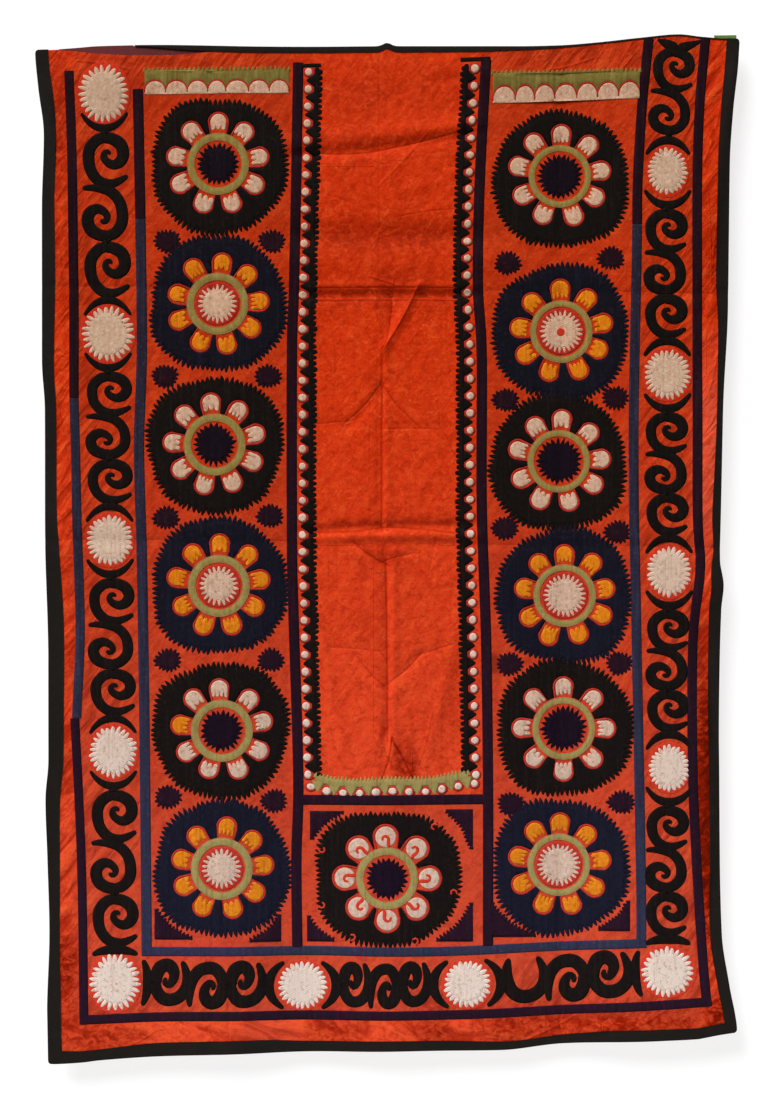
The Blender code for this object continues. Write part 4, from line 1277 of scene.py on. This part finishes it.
def curveThrough(points, step=0.004):
    # an even path through a few places, curving smoothly
    points = np.asarray(points, float)
    padded = np.concatenate([2.0 * points[:1] - points[1:2], points, 2.0 * points[-1:] - points[-2:-1]])
    path = []
    for n in range(len(points) - 1):
        a, b, c, d = padded[n:n + 4]
        count = max(int(np.linalg.norm((c - b)[:2]) / step), 2)
        t = (np.arange(count) / count)[:, None]
        path.append(0.5 * (2.0 * b + (c - a) * t + (2.0 * a - 5.0 * b + 4.0 * c - d) * t ** 2
                           + (3.0 * b - a - 3.0 * c + d) * t ** 3))
    return np.concatenate(path + [points[-1:]])


# Rosettes

rosette = {
    "reach": 0.131,
    "squareness": 0.045,
    "toothWidth": 0.0104,
    "toothHeight": 0.0120,
    "toothPitch": 0.0099,
    "lobeAt": 0.0855,
    "outlineWidth": 0.0040,
    "ringOuter": 0.0632,
    "ringInner": 0.0490,
    "ringEdge": 0.0013,
    "rightGrowth": 0.0032,
    "coreReach": 0.0335,
    "coreTooth": 0.0110,
    "petalWidth": 0.034,
    "petalTop": 0.1035,
    "wobble": 0.0035,
    "hole": 0.064,
    "holeOfEight": 0.066,
    "lobe": 0.0222,
    "middleLobe": 0.0275,
    "comma": 0.0212,
    "petalBase": 0.0668,
    "paleCoreReach": 0.030,
    "redDisc": 0.0445,
    "redEye": 0.0090,
}

# x and drop in mm, disc, petals, how many petals, turn in degrees, how far the flower is off the
# middle across and down in mm
rosettes = [
    (-347, 246, "black", "cream", 9, 90, -2, -4), (-349, 530, "navy", "yellow", 9, 84, -1, 0),
    (-355, 821, "black", "cream", 9, 96, -1, -1), (-346, 1111, "navy", "yellow", 9, 88, -1, 0),
    (-343, 1408, "black", "cream", 9, 92, 2, 1), (-341, 1694, "navy", "yellow", 9, 85, 0, -1),
    (357, 275, "black", "cream", 9, 88, -2, -8), (357, 588, "navy", "yellow", 9, 93, 1, -1),
    (351, 858, "black", "cream", 9, 84, 2, -4), (364, 1132, "navy", "yellow", 9, 91, 1, -1),
    (364, 1404, "black", "cream", 8, 90, -1, 1), (355, 1690, "navy", "yellow", 9, 87, -2, -4),
    (-1, 1713, "black", "cream", 8, 90, 0, 0)]
middleRosette = (-1, 1713)
middleStretch = (1.07, 0.98)  # it is wider than high
# the red hook on each of its petals: out and aside of the petal's middle
hookPath = [(-0.021, -0.006), (-0.013, -0.005), (-0.004, -0.006), (0.002, -0.001),
            (0.000, 0.006), (-0.007, 0.007)]
oddPetal = (-343, 1408, 2)  # one yellow petal among the cream ones
redEye = (357, 588)  # a red dot in the middle of one cream core
# small curls of paler thread on the rim of the middle rosette: x and drop in mm, turn in degrees
rimCurls = [(96, 1608, 30), (-134, 1654, 170), (-135, 1768, 200), (135, 1743, -20),
            (56, 1841, -80), (-73, 1833, -110)]


def wobbly(amount, turns=(3, 5, 8)):
    # a slow unevenness round a hand-drawn circle
    phases = dice.uniform(0.0, tau, len(turns))
    waves = list(enumerate(zip(turns, phases), 1))
    return lambda angle: amount * sum(np.sin(angle * n + p) / k for k, (n, p) in waves)


def lobedEdge(lobes, hole, lobeAt, radius, grow):
    # radius of the hole's edge at an angle: a circle with one round lobe for each petal
    def reach(angle):
        far = np.full_like(angle, hole + grow)
        for turn, out in lobes:
            size = radius + grow
            away = (angle - turn + math.pi) % tau - math.pi
            at = lobeAt + out
            side = np.abs(np.sin(away)) * at
            hit = (side < size) & (np.abs(away) < 1.0)
            lobe = at * np.cos(away) + np.sqrt(np.clip(size ** 2 - side ** 2, 0.0, None))
            far = np.where(hit, np.maximum(far, lobe), far)
        return far
    return reach


def petalOutline(width, top, base, fingers):
    # an upside down crown: a round cap whose fingers point to the flower's middle
    half = width / 2.0
    angles = np.linspace(0.0, math.pi, 15)
    cap = np.stack([half * np.cos(angles), top - half + half * 0.98 * np.sin(angles)], axis=1)
    outline = list(cap)
    step = width / fingers
    for n in range(fingers):
        left = -half + n * step
        low = base + dice.uniform(-0.0015, 0.0015) + 0.003 * math.sin(math.pi * (n + 0.5) / fingers)
        outline += [(left + step * 0.12, low + 0.0035), (left + step * 0.5, low),
                    (left + step * 0.88, low + 0.0035)]
        if n < fingers - 1:
            outline.append((left + step, base + 0.013 + dice.uniform(-0.001, 0.002)))
    return np.array(outline)


def trimmed(points, start, end):
    # a path without so much of its start and its end
    steps = np.linalg.norm(np.diff(points, axis=0), axis=1)
    length = np.concatenate([[0.0], np.cumsum(steps)])
    marks = np.linspace(start, length[-1] - end, len(points))
    return np.stack([np.interp(marks, length, points[:, n]) for n in (0, 1)], axis=1)


def turnedTo(points, centre, angle):
    # z of the flat shape goes out along the angle
    out = np.array([math.cos(angle), math.sin(angle)])
    side = np.array([math.sin(angle), -math.cos(angle)])
    return centre + points[:, :1] * side + points[:, 1:] * out


discs = {colour: Stitching("rosettes_" + colour, finishes[colour]) for colour in ("black", "navy")}
petals = {"cream": Stitching("petals_cream", finishes["ecru"]),
          "yellow": Stitching("petals_yellow", finishes["yellow"])}
rosettePurple = Stitching("rosette_cores_purple", finishes["plum"])
rosetteCream = Stitching("rosette_cores_cream", finishes["ecru"])
rosetteRose = Stitching("rosette_outlines_rose", finishes["rose"], 0.75)
rosetteOlive = Stitching("rosette_rings_olive", finishes["olive"])
rosetteTan = Stitching("rosette_ring_edges_tan", finishes["tan"], 0.9)
hookRust = Stitching("petal_hooks_rust", finishes["rust"], 1.5)

tooth = toothShape("tooth", rosette["toothWidth"], rosette["toothHeight"], bulge=1.6, tip=0.2)
coreTooth = toothShape("core_tooth", 0.0098, rosette["coreTooth"])

discTeeth = {"black": [], "navy": []}
purpleTeeth, creamTeeth = [], []
for x, down, disc, petal, count, turn, eyeX, eyeDown in rosettes:
    centre = drop(x, down)
    isMiddle = (x, down) == middleRosette
    wide, tall = middleStretch if isMiddle else (1.0, 1.0)
    square = rosette["squareness"] * (2.0 if isMiddle else 1.0)
    uneven = wobbly(rosette["wobble"])
    rim = ring(centre, lambda angle: rosette["reach"] * (1.0 + square * np.sin(2.0 * angle) ** 2)
               + uneven(angle), 110, wide=wide, tall=tall)
    hole = rosette["holeOfEight" if count == 8 else "hole"]
    radius = rosette["middleLobe" if isMiddle else "lobe"]
    lobes = [(math.radians(turn) + tau * n / count + dice.normal(0.0, 0.02), dice.normal(0.0, 0.0012))
             for n in range(count)]
    middle = drop(x + eyeX, down + eyeDown)
    edge, inside = (ring(middle, lobedEdge(lobes, hole, rosette["lobeAt"], radius, grow), count * 24)
                    for grow in (0.0, -rosette["outlineWidth"]))
    discs[disc].patch(rim, edge)
    discTeeth[disc].append((rim[::-1], True))
    rosetteRose.patch(edge, inside)
    # the right column's rings are thinner and their cores larger
    grown = rosette["rightGrowth"] if x > 0 else 0.0
    ringReaches = rosette["ringOuter"] + grown * 0.2, rosette["ringInner"] + grown
    rosetteOlive.patch(*(ring(middle, reach, 60) for reach in ringReaches))
    for reach in ringReaches:
        loop = ring(middle, reach, 60)
        rosetteTan.ribbon(np.concatenate([loop, loop[:1]]), rosette["ringEdge"] * 1.4)
    for n, (angle, out) in enumerate(lobes):
        if isMiddle:
            # a comma: a round petal with a red hook curling in from the ring
            towards = np.array([math.cos(angle), math.sin(angle)])
            at = middle + (rosette["lobeAt"] + 0.0005 + out) * towards
            petals[petal].patch(ring(at, rosette["comma"], 30), step=0.006)
            side = np.array([-towards[1], towards[0]])
            hook = curveThrough([at + out * towards + across * side for out, across in hookPath])
            hookRust.ribbon(hook, np.linspace(0.0095, 0.0055, len(hook)))
        else:
            broad = rosette["petalWidth"] * dice.uniform(0.93, 1.06)
            shape = petalOutline(broad, rosette["petalTop"] + out, rosette["petalBase"],
                                 int(dice.integers(3, 5)))
            colour = "yellow" if (x, down, n) == oddPetal else petal
            petals[colour].patch(turnedTo(shape, middle, angle), step=0.006)
    core = ring(middle, rosette["coreReach" if disc == "black" else "paleCoreReach"] + grown, 44)
    if disc == "black":
        rosettePurple.patch(core)
        purpleTeeth.append((core[::-1], True))
    else:
        rosetteRose.patch(ring(middle, rosette["redDisc"] + grown, 44), core)
        rosetteCream.patch(core)
        creamTeeth.append((core[::-1], True))
hookRust.patch(ring(drop(*redEye), rosette["redEye"], 16), step=0.004)
for x, down, turn in rimCurls:
    swing = math.radians(turn) + np.linspace(0.0, 4.4, 16)
    reach = np.linspace(0.0085, 0.0035, 16)
    curl = drop(x, down) + np.stack([reach * np.cos(swing), reach * np.sin(swing)], axis=1)
    hookRust.ribbon(curl, 0.0042)
for disc in discs:
    discs[disc].row(discTeeth[disc], tooth, rosette["toothPitch"], 0.18, 0.16)
rosettePurple.row(purpleTeeth, coreTooth, 0.0094, 0.24, 0.18)
creamTooth = toothShape("cream_core_tooth", 0.0082, 0.0120, bulge=2.6, tip=0.3)
rosetteCream.row(creamTeeth, creamTooth, 0.0086, 0.12, 0.08)
print("rosettes drawn")


# Suns and stars

# x and drop in mm, radius across and down in mm
suns = [
    (-584, 98, 52, 62), (-576, 592, 54, 60), (-572, 1017, 48, 54), (-565, 1453, 50, 55),
    (-561, 1927, 52, 61), (-175, 1935, 52, 50), (164, 1931, 50, 49), (576, 1904, 56, 51),
    (577, 257, 41, 51), (576, 676, 48, 53), (580, 1082, 45, 54), (580, 1486, 42, 50)]
sun = {"core": 0.73, "fingers": 25, "fingerWidth": 0.0098, "fingerShare": 0.25, "disc": 1.07}

# x and drop in mm
stars = [
    (-454, 401), (-238, 401), (-458, 679), (-246, 679), (-456, 971), (-242, 967), (-452, 1264), (-240, 1264),
    (-452, 1546), (-234, 1554), (248, 446), (460, 436), (244, 728), (469, 724), (242, 992), (473, 1000),
    (252, 1272), (477, 1270), (254, 1560), (481, 1556)]
star = {"core": 0.0195, "reach": 0.0268, "wide": 1.13, "tall": 0.93, "wobble": 0.0012,
        "fingers": 16, "fingerWidth": 0.0078}

sunCream = Stitching("suns_cream", finishes["cream"])
sunRust = Stitching("sun_discs_rust", finishes["rust"], 0.35)
starPurple = Stitching("stars_purple", finishes["purple"], 0.9)
for x, down, across, high in suns:
    core = ring(drop(x, down), 1.0, 60,
                wide=across * sun["core"] / 1000.0, tall=high * sun["core"] / 1000.0)
    sunCream.patch(core, step=0.007)
    across, high = across * sun["disc"], high * sun["disc"]
    sunRust.patch(ring(drop(x, down), 1.0, 60, wide=across / 1000.0, tall=high / 1000.0), step=0.009)
    fingerLength = sun["fingerShare"] * (across + high) / 2000.0 / sun["disc"]
    finger = toothShape("sun_finger", sun["fingerWidth"], fingerLength, bulge=2.4, tip=0.26)
    around = np.linalg.norm(np.roll(core, -1, axis=0) - core, axis=1).sum()
    sunCream.row([(core[::-1], True)], finger, around / sun["fingers"], 0.16, 0.16)
starRings = []
for x, down in stars:
    uneven = wobbly(star["wobble"])
    core = ring(drop(x, down), lambda angle: star["core"] + uneven(angle), 32,
                wide=star["wide"], tall=star["tall"])
    starPurple.patch(core, step=0.006)
    starRings.append((core[::-1], True))
starFinger = toothShape("star_finger", star["fingerWidth"], star["reach"] - star["core"], bulge=1.7, tip=0.2)
starPurple.row(starRings, starFinger, tau * star["core"] / star["fingers"], 0.16, 0.14)
print("suns and stars drawn")


# Bands

# width in mm, then x and drop in mm; a band changes colour where one line ends and the next begins
bands = {
    "purple": [
        (19.5, [(-656, 50), (-649, 259), (-646, 502), (-646, 724)]),
        (18.5, [(-644, 1383), (-631, 1676), (-625, 2014)]),
        (21.5, [(-514, 88), (-509, 355)]),
        (21.5, [(-184, 32), (-188, 259), (-193, 502), (-197, 625), (-197, 1017), (-194, 1163), (-184, 1503),
                (-188, 1676), (-186, 1857)]),
        (21.5, [(203, 26), (190, 277), (186, 485), (194, 636), (194, 945), (203, 1223),
                (207, 1532), (207, 1853)]),
        (20.5, [(538, -17), (524, 121), (515, 277), (514, 366)]),
        (20.0, [(655, -17), (643, 121), (638, 277), (638, 522), (638, 949), (644, 1068),
                (629, 1225), (628, 1484),
                (637, 1688), (652, 1921), (658, 1976)]),
        (19.0, [(-634, 2005), (-397, 1997), (88, 1995), (355, 1985), (607, 1970), (666, 1965)]),
        (20.5, [(-192, 1552), (-1, 1552), (214, 1550)])],
    "slate": [
        (19.0, [(-646, 724), (-638, 1017), (-633, 1210), (-640, 1383)]),
        (21.5, [(-509, 355), (-506, 625), (-512, 821), (-507, 1017), (-504, 1163),
                (-500, 1453), (-496, 1872)]),
        (20.5, [(514, 366), (512, 485), (507, 728), (507, 934), (511, 1140),
                (521, 1688), (522, 1852)]),
        (19.0, [(-506, 1864), (-180, 1863), (88, 1864), (273, 1857), (504, 1847), (531, 1845)])],
}
bandPieces = []
for colour, lines in bands.items():
    piece = Stitching("bands_" + colour, finishes[colour])
    for width, table in lines:
        path = curveThrough([drop(x, down) for x, down in table], 0.02)
        piece.ribbon(path, width / 1000.0, square=True)
    bandPieces.append(piece)
print("bands drawn")


# Scrolls in the border

scroll = {
    "wide": 0.098,
    "narrow": 0.090,
    "long": 0.109,
    "crescentReach": 0.070,
    "cornerReach": 0.067,
    "crescentWidth": 0.018,
}

# the outer arm of a scroll, for a unit 1 wide and 1 long: across, along, width in mm
outerArm = [
    (0.03, 0.11, 24), (-0.15, 0.135, 25), (-0.315, 0.30, 26), (-0.345, 0.51, 26), (-0.285, 0.73, 25),
    (-0.114, 0.905, 24), (0.12, 0.945, 20), (0.33, 0.88, 15), (0.47, 0.80, 9)]
# the same arm when it is turned about, with a straighter horn
turnedArm = outerArm[:6] + [(0.12, 0.97, 19), (0.33, 0.985, 14), (0.48, 0.97, 9)]
# the inner arm, curling to a hook
innerArm = [
    (-0.09, 0.11, 24), (0.12, 0.115, 26), (0.32, 0.22, 28), (0.385, 0.405, 27), (0.32, 0.54, 26),
    (0.18, 0.60, 22), (0.045, 0.55, 18), (-0.03, 0.455, 16), (0.0, 0.37, 13), (0.07, 0.36, 11),
    (0.10, 0.41, 8)]
neck = [(0.0, -0.05, 21), (0.0, 0.11, 25)]
# the one unit that is left open, like a U
openArm = [(0.48, 0.13, 8), (0.32, 0.08, 17), (0.08, 0.05, 24), (-0.18, 0.13, 26)] + outerArm[2:]

scrollBlack = Stitching("border_scrolls_black", finishes["black"])


def addScroll(start, end, side, wide, bold, turned=False, plain=False):
    # one scroll from its neck at start to its foot at end; side says which way its outer arm goes
    run = end - start
    length = np.linalg.norm(run)
    along = run / length
    across = np.array([-along[1], along[0]]) * side
    for arm in ([openArm] if plain else [turnedArm if turned else outerArm, innerArm, neck]):
        table = np.array(arm)
        spots = start + table[:, :1] * wide * across + table[:, 1:2] * length * along
        scale = math.sqrt(length / scroll["long"] * wide / scroll["wide"]) * bold
        path = curveThrough(np.concatenate([spots, table[:, 2:] * scale / 1000.0], axis=1))
        scrollBlack.ribbon(path[:, :2], path[:, 2])


def addCrescent(centre, towards, reach, width, span=0.70, curved=1.0):
    # hugs a sun, thick in the middle and pointed at both horns
    away = towards / np.linalg.norm(towards)
    side = np.array([-away[1], away[0]])
    t = np.linspace(-1.0, 1.0, 25)
    bow = curved * (0.36 * t ** 2 + 0.10 * t ** 4)
    forward = reach * (1.0 - bow * span / 0.70)
    path = centre + np.outer(t * reach * span, side) + np.outer(forward, away)
    scrollBlack.ribbon(path, width * (1.0 - 0.62 * t ** 2))


def addChain(first, firstReach, last, lastReach, units, wide, side, bold=1.0, plain=False):
    # scrolls between two suns or ends, alternately turned about
    run = last - first
    along = run / np.linalg.norm(run)
    start = first + along * firstReach
    end = last - along * lastReach
    for n in range(units):
        a = start + (end - start) * n / units
        b = start + (end - start) * (n + 1) / units
        if n % 2:
            addScroll(b, a, side, wide, bold, turned=True)
        else:
            addScroll(a, b, side, wide, bold, plain=plain and n == 0)


leftSuns = [drop(x, down) for x, down, _, _ in suns[:5]]
rightSuns = [drop(x, down) for x, down, _, _ in suns[8:]] + [drop(*suns[7][:2])]
bottomSuns = [drop(x, down) for x, down, _, _ in suns[4:8]]
hug = scroll["crescentReach"]
corners = (bottomSuns[0], bottomSuns[-1])
borders = [(leftSuns, scroll["wide"], 0, 0.92), (rightSuns, scroll["narrow"], -4, 1.0),
           (bottomSuns, scroll["wide"], 0, 1.2)]
for chain, wide, shift, bold in borders:
    for a, b in zip(chain[:-1], chain[1:]):
        reaches = []
        for here, other in ((a, b), (b, a)):
            if min(np.linalg.norm(here - corner) for corner in corners) < 0.01:
                reaches.append(scroll["cornerReach"])
                addCrescent(here, other - here, reaches[-1], scroll["crescentWidth"] * 1.15,
                            0.70, 0.35)
            else:
                reaches.append(hug)
                addCrescent(here, other - here, hug, scroll["crescentWidth"] * bold, 0.68)
        lonely = chain is bottomSuns and a is chain[2]
        addChain(a + drop(shift, 0), reaches[0] + 0.008, b + drop(shift, 0), reaches[1] + 0.008,
                 3, wide, 1.0, bold, plain=lonely)
# two ears over the first scroll of the right border
ears = [[(597, 6, 26), (575, -5, 19), (556, -14, 5)], [(598, 6, 26), (624, -3, 16), (647, -12, 5)]]
for ear in ears:
    path = curveThrough([(*drop(x, down), width / 1000.0) for x, down, width in ear])
    scrollBlack.ribbon(path[:, :2], path[:, 2])
addCrescent(rightSuns[0], np.array([0.0, 1.0]), 0.064, scroll["crescentWidth"])
addChain(drop(590, 2), 0.0, drop(575, 250), 0.068, 2, scroll["narrow"], 1.0, 0.92)
print("scrolls drawn")


# Corner triangles

# corner x and drop, then the two legs' lengths across and down, in mm
triangles = [
    (-480, 1839, 80, -64), (-219, 1844, -67, -57), (211, 1834, 96, -72), (499, 1821, -66, -65),
    (-160, 1575, 72, 60), (176, 1571, -57, 84), (-166, 1844, 58, -55), (176, 1843, -77, -81)]
cornerPurple = Stitching("corner_triangles_purple", finishes["purple"])
cornerTeeth = []
for x, down, across, high in triangles:
    corner = drop(x, down)
    a = corner + np.array([across / 1000.0, 0.0])
    b = corner - np.array([0.0, high / 1000.0])
    hollow = (a + b) / 2.0 + (corner - (a + b) / 2.0) * 0.18
    slope = curveThrough([a, hollow, b], 0.006)
    outline = np.concatenate([[corner], slope])
    twist = across * -high
    if twist < 0:
        outline = outline[::-1]
    cornerPurple.patch(outline, step=0.007)
    toothed = slope[1:-1]
    cornerTeeth.append((toothed[::-1] if twist > 0 else toothed, False))
cornerPurple.row(cornerTeeth, toothShape("corner_tooth", 0.0086, 0.0070), 0.0080, 0.2, 0.12)
print("corners drawn")


# Olive panels with their scallops

# the ends of each panel: x, top drop and foot drop in mm
panels = [((-500, 50, 99), (-203, 46, 96)), ((217, 56, 117), (520, 50, 107))]
panel = {"scallops": 7, "rise": 0.58, "least": 0.12,
         "toothWidth": 0.0076, "toothHeight": 0.0070, "toothPitch": 0.0092}
panelOlive = Stitching("panels_olive", finishes["moss"])
panelCream = Stitching("panel_scallops_cream", finishes["ecru"])
panelRose = Stitching("panel_outlines_rose", finishes["rose"], 0.8)
panelTeeth = []
for (x0, top0, foot0), (x1, top1, foot1) in panels:
    topLeft, topRight = drop(x0, top0), drop(x1, top1)
    footLeft, footRight = drop(x0, foot0), drop(x1, foot1)
    cuts = np.linspace(0.0, 1.0, panel["scallops"] + 1)
    cuts[1:-1] += dice.uniform(-0.012, 0.012, panel["scallops"] - 1)
    base = footRight - footLeft
    up = (topLeft - footLeft) * panel["rise"]
    angles = np.linspace(math.pi, 0.0, 15)[:-1]
    wavy = []
    for a, b in zip(cuts[:-1], cuts[1:]):
        middle, half = footLeft + base * (a + b) / 2.0, base * (b - a) / 2.0
        rise = panel["least"] + np.sin(angles) ** 0.8 * (1.0 - panel["least"])
        wavy.append(middle + np.outer(np.cos(angles), half) + np.outer(rise, up))
    wavy = np.concatenate(wavy + [[footRight + up * panel["least"]]])
    panelCream.patch(np.concatenate([wavy - up * 0.06, [footRight, footLeft]]), step=0.006)
    panelRose.ribbon(wavy, 0.0044)
    panelOlive.patch(np.concatenate([wavy + up * 0.05, [topRight, topLeft]]), step=0.007)
    panelTeeth.append((np.array([topLeft, (topLeft + topRight) / 2.0, topRight]), False))
panelOlive.row(panelTeeth, toothShape("panel_tooth", panel["toothWidth"], panel["toothHeight"]),
               panel["toothPitch"], 0.2, 0.15)
print("panels drawn")


# Niche columns and foot

column = {"dots": 42, "length": 1.448, "dotRadius": 0.0080, "haloRadius": 0.0138,
          "spineAt": 0.0170, "spineWidth": 0.0100, "wedgeHeight": 0.0215,
          "combAt": 0.0205, "combHeight": 0.0088, "combWidth": 0.0108, "combPitch": 0.0117}
# the middle of each column's dots: x and drop in mm
leftDots = [(-162, 52), (-168, 259), (-174, 502), (-175, 625), (-175, 1017), (-172, 1163),
            (-166, 1440), (-164, 1500)]
rightDots = [(180, 46), (168, 277), (164, 485), (170, 636), (170, 945), (176, 1223),
             (180, 1440), (182, 1500)]
nicheBlack = Stitching("niche_columns_black", finishes["black"])
nicheCream = Stitching("niche_dots_cream", finishes["cream"])
nicheRose = Stitching("niche_halos_rose", finishes["rose"], 0.5)
nicheOlive = Stitching("niche_foot_olive", finishes["olive"])
pitchDots = column["length"] / (column["dots"] - 1)
combTooth = toothShape("comb_tooth", column["combWidth"], column["combHeight"], bulge=2.6, tip=0.45)
wedge = toothShape("column_wedge", pitchDots * 0.94, column["wedgeHeight"], bulge=1.0, tip=0.12)
for dots, inward in ((leftDots, 1.0), (rightDots, -1.0)):
    line = curveThrough([drop(x, down) for x, down in dots], 0.01)
    spine = line + np.array([column["spineAt"] * inward, 0.0])
    comb = line + np.array([column["combAt"] * inward, 0.0])
    nicheBlack.ribbon(spine + [0.0, 0.01], column["spineWidth"])
    # the shapes stand on the left of the way the path runs
    nicheBlack.row([(comb if inward > 0 else comb[::-1], False)], combTooth, column["combPitch"], 0.2, 0.12)
    wedges = trimmed(spine, pitchDots / 2.0, pitchDots / 2.0)
    nicheBlack.row([(wedges[::-1] if inward > 0 else wedges, False)], wedge, pitchDots, 0.06, 0.04)
    nicheCream.row([(line, False)], roundShape("dot", column["dotRadius"]), pitchDots, 0.10, 0.0)
    halo = roundShape("halo", column["haloRadius"], 0.88)
    nicheRose.row([(line + [0.002 * inward, 0.0], False)], halo, pitchDots, 0.05, 0.0)

# short bars over the two columns
nicheBlack.ribbon([drop(-176, 39), drop(-137, 38)], 0.0080, square=True)
nicheBlack.ribbon([drop(150, 28), drop(212, 25)], 0.0090, square=True)

foot = {"dots": 10, "dotRadius": 0.0074, "haloRadius": 0.0116, "bandWidth": 0.0135, "wedgeRise": 0.0135}
footLine = curveThrough([drop(x, down) for x, down in (
    (-158, 1525), (-120, 1535), (-57, 1538), (13, 1533), (73, 1535), (148, 1523), (179, 1518))], 0.01)
footLength = np.linalg.norm(np.diff(footLine, axis=0), axis=1).sum()
footPitch = footLength / foot["dots"]
close = footPitch * 0.998  # a hair less, so that the row keeps its count
nicheCream.row([(footLine, False)], roundShape("foot_dot", foot["dotRadius"], 1.1), close, 0.12, 0.0)
nicheRose.row([(footLine, False)], roundShape("foot_halo", foot["haloRadius"], 1.1), close, 0.05, 0.0)
footBand = curveThrough([drop(x, down) for x, down in (
    (-148, 1507), (-115, 1515), (-57, 1519), (13, 1515), (73, 1516), (140, 1506), (166, 1501))], 0.01)
nicheOlive.ribbon(footBand, foot["bandWidth"])
nicheOlive.row([(footBand + [0.0, 0.004], False)], toothShape("foot_comb", 0.0076, 0.010), 0.0078, 0.2, 0.12)
wedges = trimmed(footLine, footPitch / 2.0, footPitch / 2.0) + [0.0, foot["wedgeRise"]]
nicheOlive.row([(wedges[::-1], False)], toothShape("foot_wedge", 0.030, 0.021, bulge=0.9, tip=0.04),
               close, 0.08, 0.05)
print("niche drawn")

sewn = [*discs.values(), *petals.values(), rosettePurple, rosetteCream, rosetteRose, rosetteOlive,
        rosetteTan, hookRust, sunRust, sunCream, starPurple, *bandPieces, scrollBlack, cornerPurple,
        panelOlive, panelCream, panelRose, nicheBlack, nicheCream, nicheRose, nicheOlive]
embroidery = [one.finishPiece() for one in sewn]
print("embroidery laid:", sum(len(piece.data.polygons) for piece in embroidery), "faces")


# Riding and replacing, from a table that also lists each sheet's slot and cut size

dressed = [
    (ground, "ground_cloth", "red_satin", (1.410, 2.098)),
    (leftTape, "binding_left", "black_binding", (0.058, 2.090)),
    (rightTape, "binding_right", "black_binding", (0.050, 2.050)),
    (topTape, "binding_top", "black_binding", (1.190, 0.052)),
    (bottomTape, "binding_bottom", "black_binding", (1.365, 0.050)),
    (crimsonStrip, "lining_crimson", "crimson_cotton", (0.312, 0.040)),
    (greenStrip, "lining_green", "green_cotton", (0.046, 0.047))]
for piece, node, slot, flat in dressed:
    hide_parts(node)
    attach(piece, "root")
for piece in embroidery:
    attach(piece, "root")


# Stage, light and camera

stage = {
    "wallBehind": 0.045,
    "floorAt": -2.75,
    "floorDepth": 1.2,
    "halfWidth": 4.0,
    "wallTop": 2.0,
    "cameraBack": 5.0,
    "cameraHeight": -1.037,
    "frameHeight": 2.266,
    "wallLevel": 0.25,
    "wallGlow": 0.78,
}


def plainSheet(name, corners):
    return objectFrom(name, meshFrom(name, corners, [(0, 1, 2, 3)]))


def makeWall():
    aside, back, low = stage["halfWidth"], stage["wallBehind"], stage["floorAt"]
    wall = plainSheet("wall", [(-aside, back, low), (aside, back, low),
                               (aside, back, stage["wallTop"]), (-aside, back, stage["wallTop"])])
    paint = Paint("white_wall")
    paint.feed("Base Color", (stage["wallLevel"],) * 3 + (1.0,))
    paint.feed("Roughness", 0.9)
    paint.feed("Emission Color", (1.0, 1.0, 1.0, 1.0))
    paint.feed("Emission Strength", stage["wallGlow"])
    # seen from behind it is clear, so that the back of the cloth shows
    behind = paint.node("NewGeometry", output="Backfacing")
    clear = paint.node("BsdfTransparent")
    shown = paint.node("MixShader", sockets={0: behind, 2: clear})
    mixer = shown.socket.node
    paint.tree.links.new(paint.shader.outputs[0], mixer.inputs[1])
    paint.tree.links.new(shown.socket, paint.tree.nodes["Material Output"].inputs[0])
    wall.data.materials.append(paint.material)


def makeFloor():
    aside, deep, low = stage["halfWidth"], stage["floorDepth"], stage["floorAt"]
    floor = plainSheet("floor", [(-aside, -deep, low), (aside, -deep, low),
                                 (aside, deep, low), (-aside, deep, low)])
    paint = Paint("pale_floor")
    paint.feed("Base Color", (0.60, 0.60, 0.59, 1.0))
    paint.feed("Roughness", 0.85)
    floor.data.materials.append(paint.material)


def makeLamp(name, place, target, size, power):
    light = bpy.data.lights.new(name, "AREA")
    light.shape = "RECTANGLE"
    light.size, light.size_y = size
    light.energy = power
    lamp = objectFrom(name, light)
    lamp.location = place
    aim = np.array(target) - np.array(place)
    tilt, turn = math.atan2(math.hypot(aim[0], aim[1]), -aim[2]), math.atan2(aim[1], aim[0])
    lamp.rotation_euler = (tilt, 0.0, turn - math.pi / 2.0)


def makeSun(towards, strength, spread):
    # a broad soft lamp, far off to the upper left
    light = bpy.data.lights.new("key", "SUN")
    light.energy = strength
    light.angle = math.radians(spread)
    lamp = objectFrom("key", light)
    tilt = math.atan2(math.hypot(towards[0], towards[1]), towards[2])
    turn = math.atan2(towards[1], towards[0])
    lamp.rotation_euler = (tilt, 0.0, turn + math.pi / 2.0)


def makeCamera():
    camera = bpy.data.cameras.new("camera")
    camera.sensor_fit = "VERTICAL"
    camera.sensor_height = 36.0
    camera.lens = 36.0 * stage["cameraBack"] / stage["frameHeight"]
    camera.clip_end = 60.0
    holder = objectFrom("camera", camera)
    holder.location = (0.0, -stage["cameraBack"], stage["cameraHeight"])
    holder.rotation_euler = (math.pi / 2.0, 0.0, 0.0)
    bpy.context.scene.camera = holder


makeWall()
makeFloor()
makeSun((-0.60, -0.85, 1.10), 4.6, 30.0)
makeLamp("low_fill", (0.8, -3.6, -2.0), (0.0, 0.0, -1.7), (2.4, 0.6), 8.0)
makeLamp("back", (0.8, 4.5, 0.6), (0.0, 0.0, -1.0), (3.0, 2.0), 120.0)
makeCamera()
world = bpy.data.worlds.new("studio")
bpy.context.scene.world = world
world.use_nodes = True
world.node_tree.nodes["Background"].inputs["Color"].default_value = (1.0, 1.0, 1.0, 1.0)
world.node_tree.nodes["Background"].inputs["Strength"].default_value = 0.10
bpy.context.scene.view_settings.view_transform = "Standard"
print("stage set")
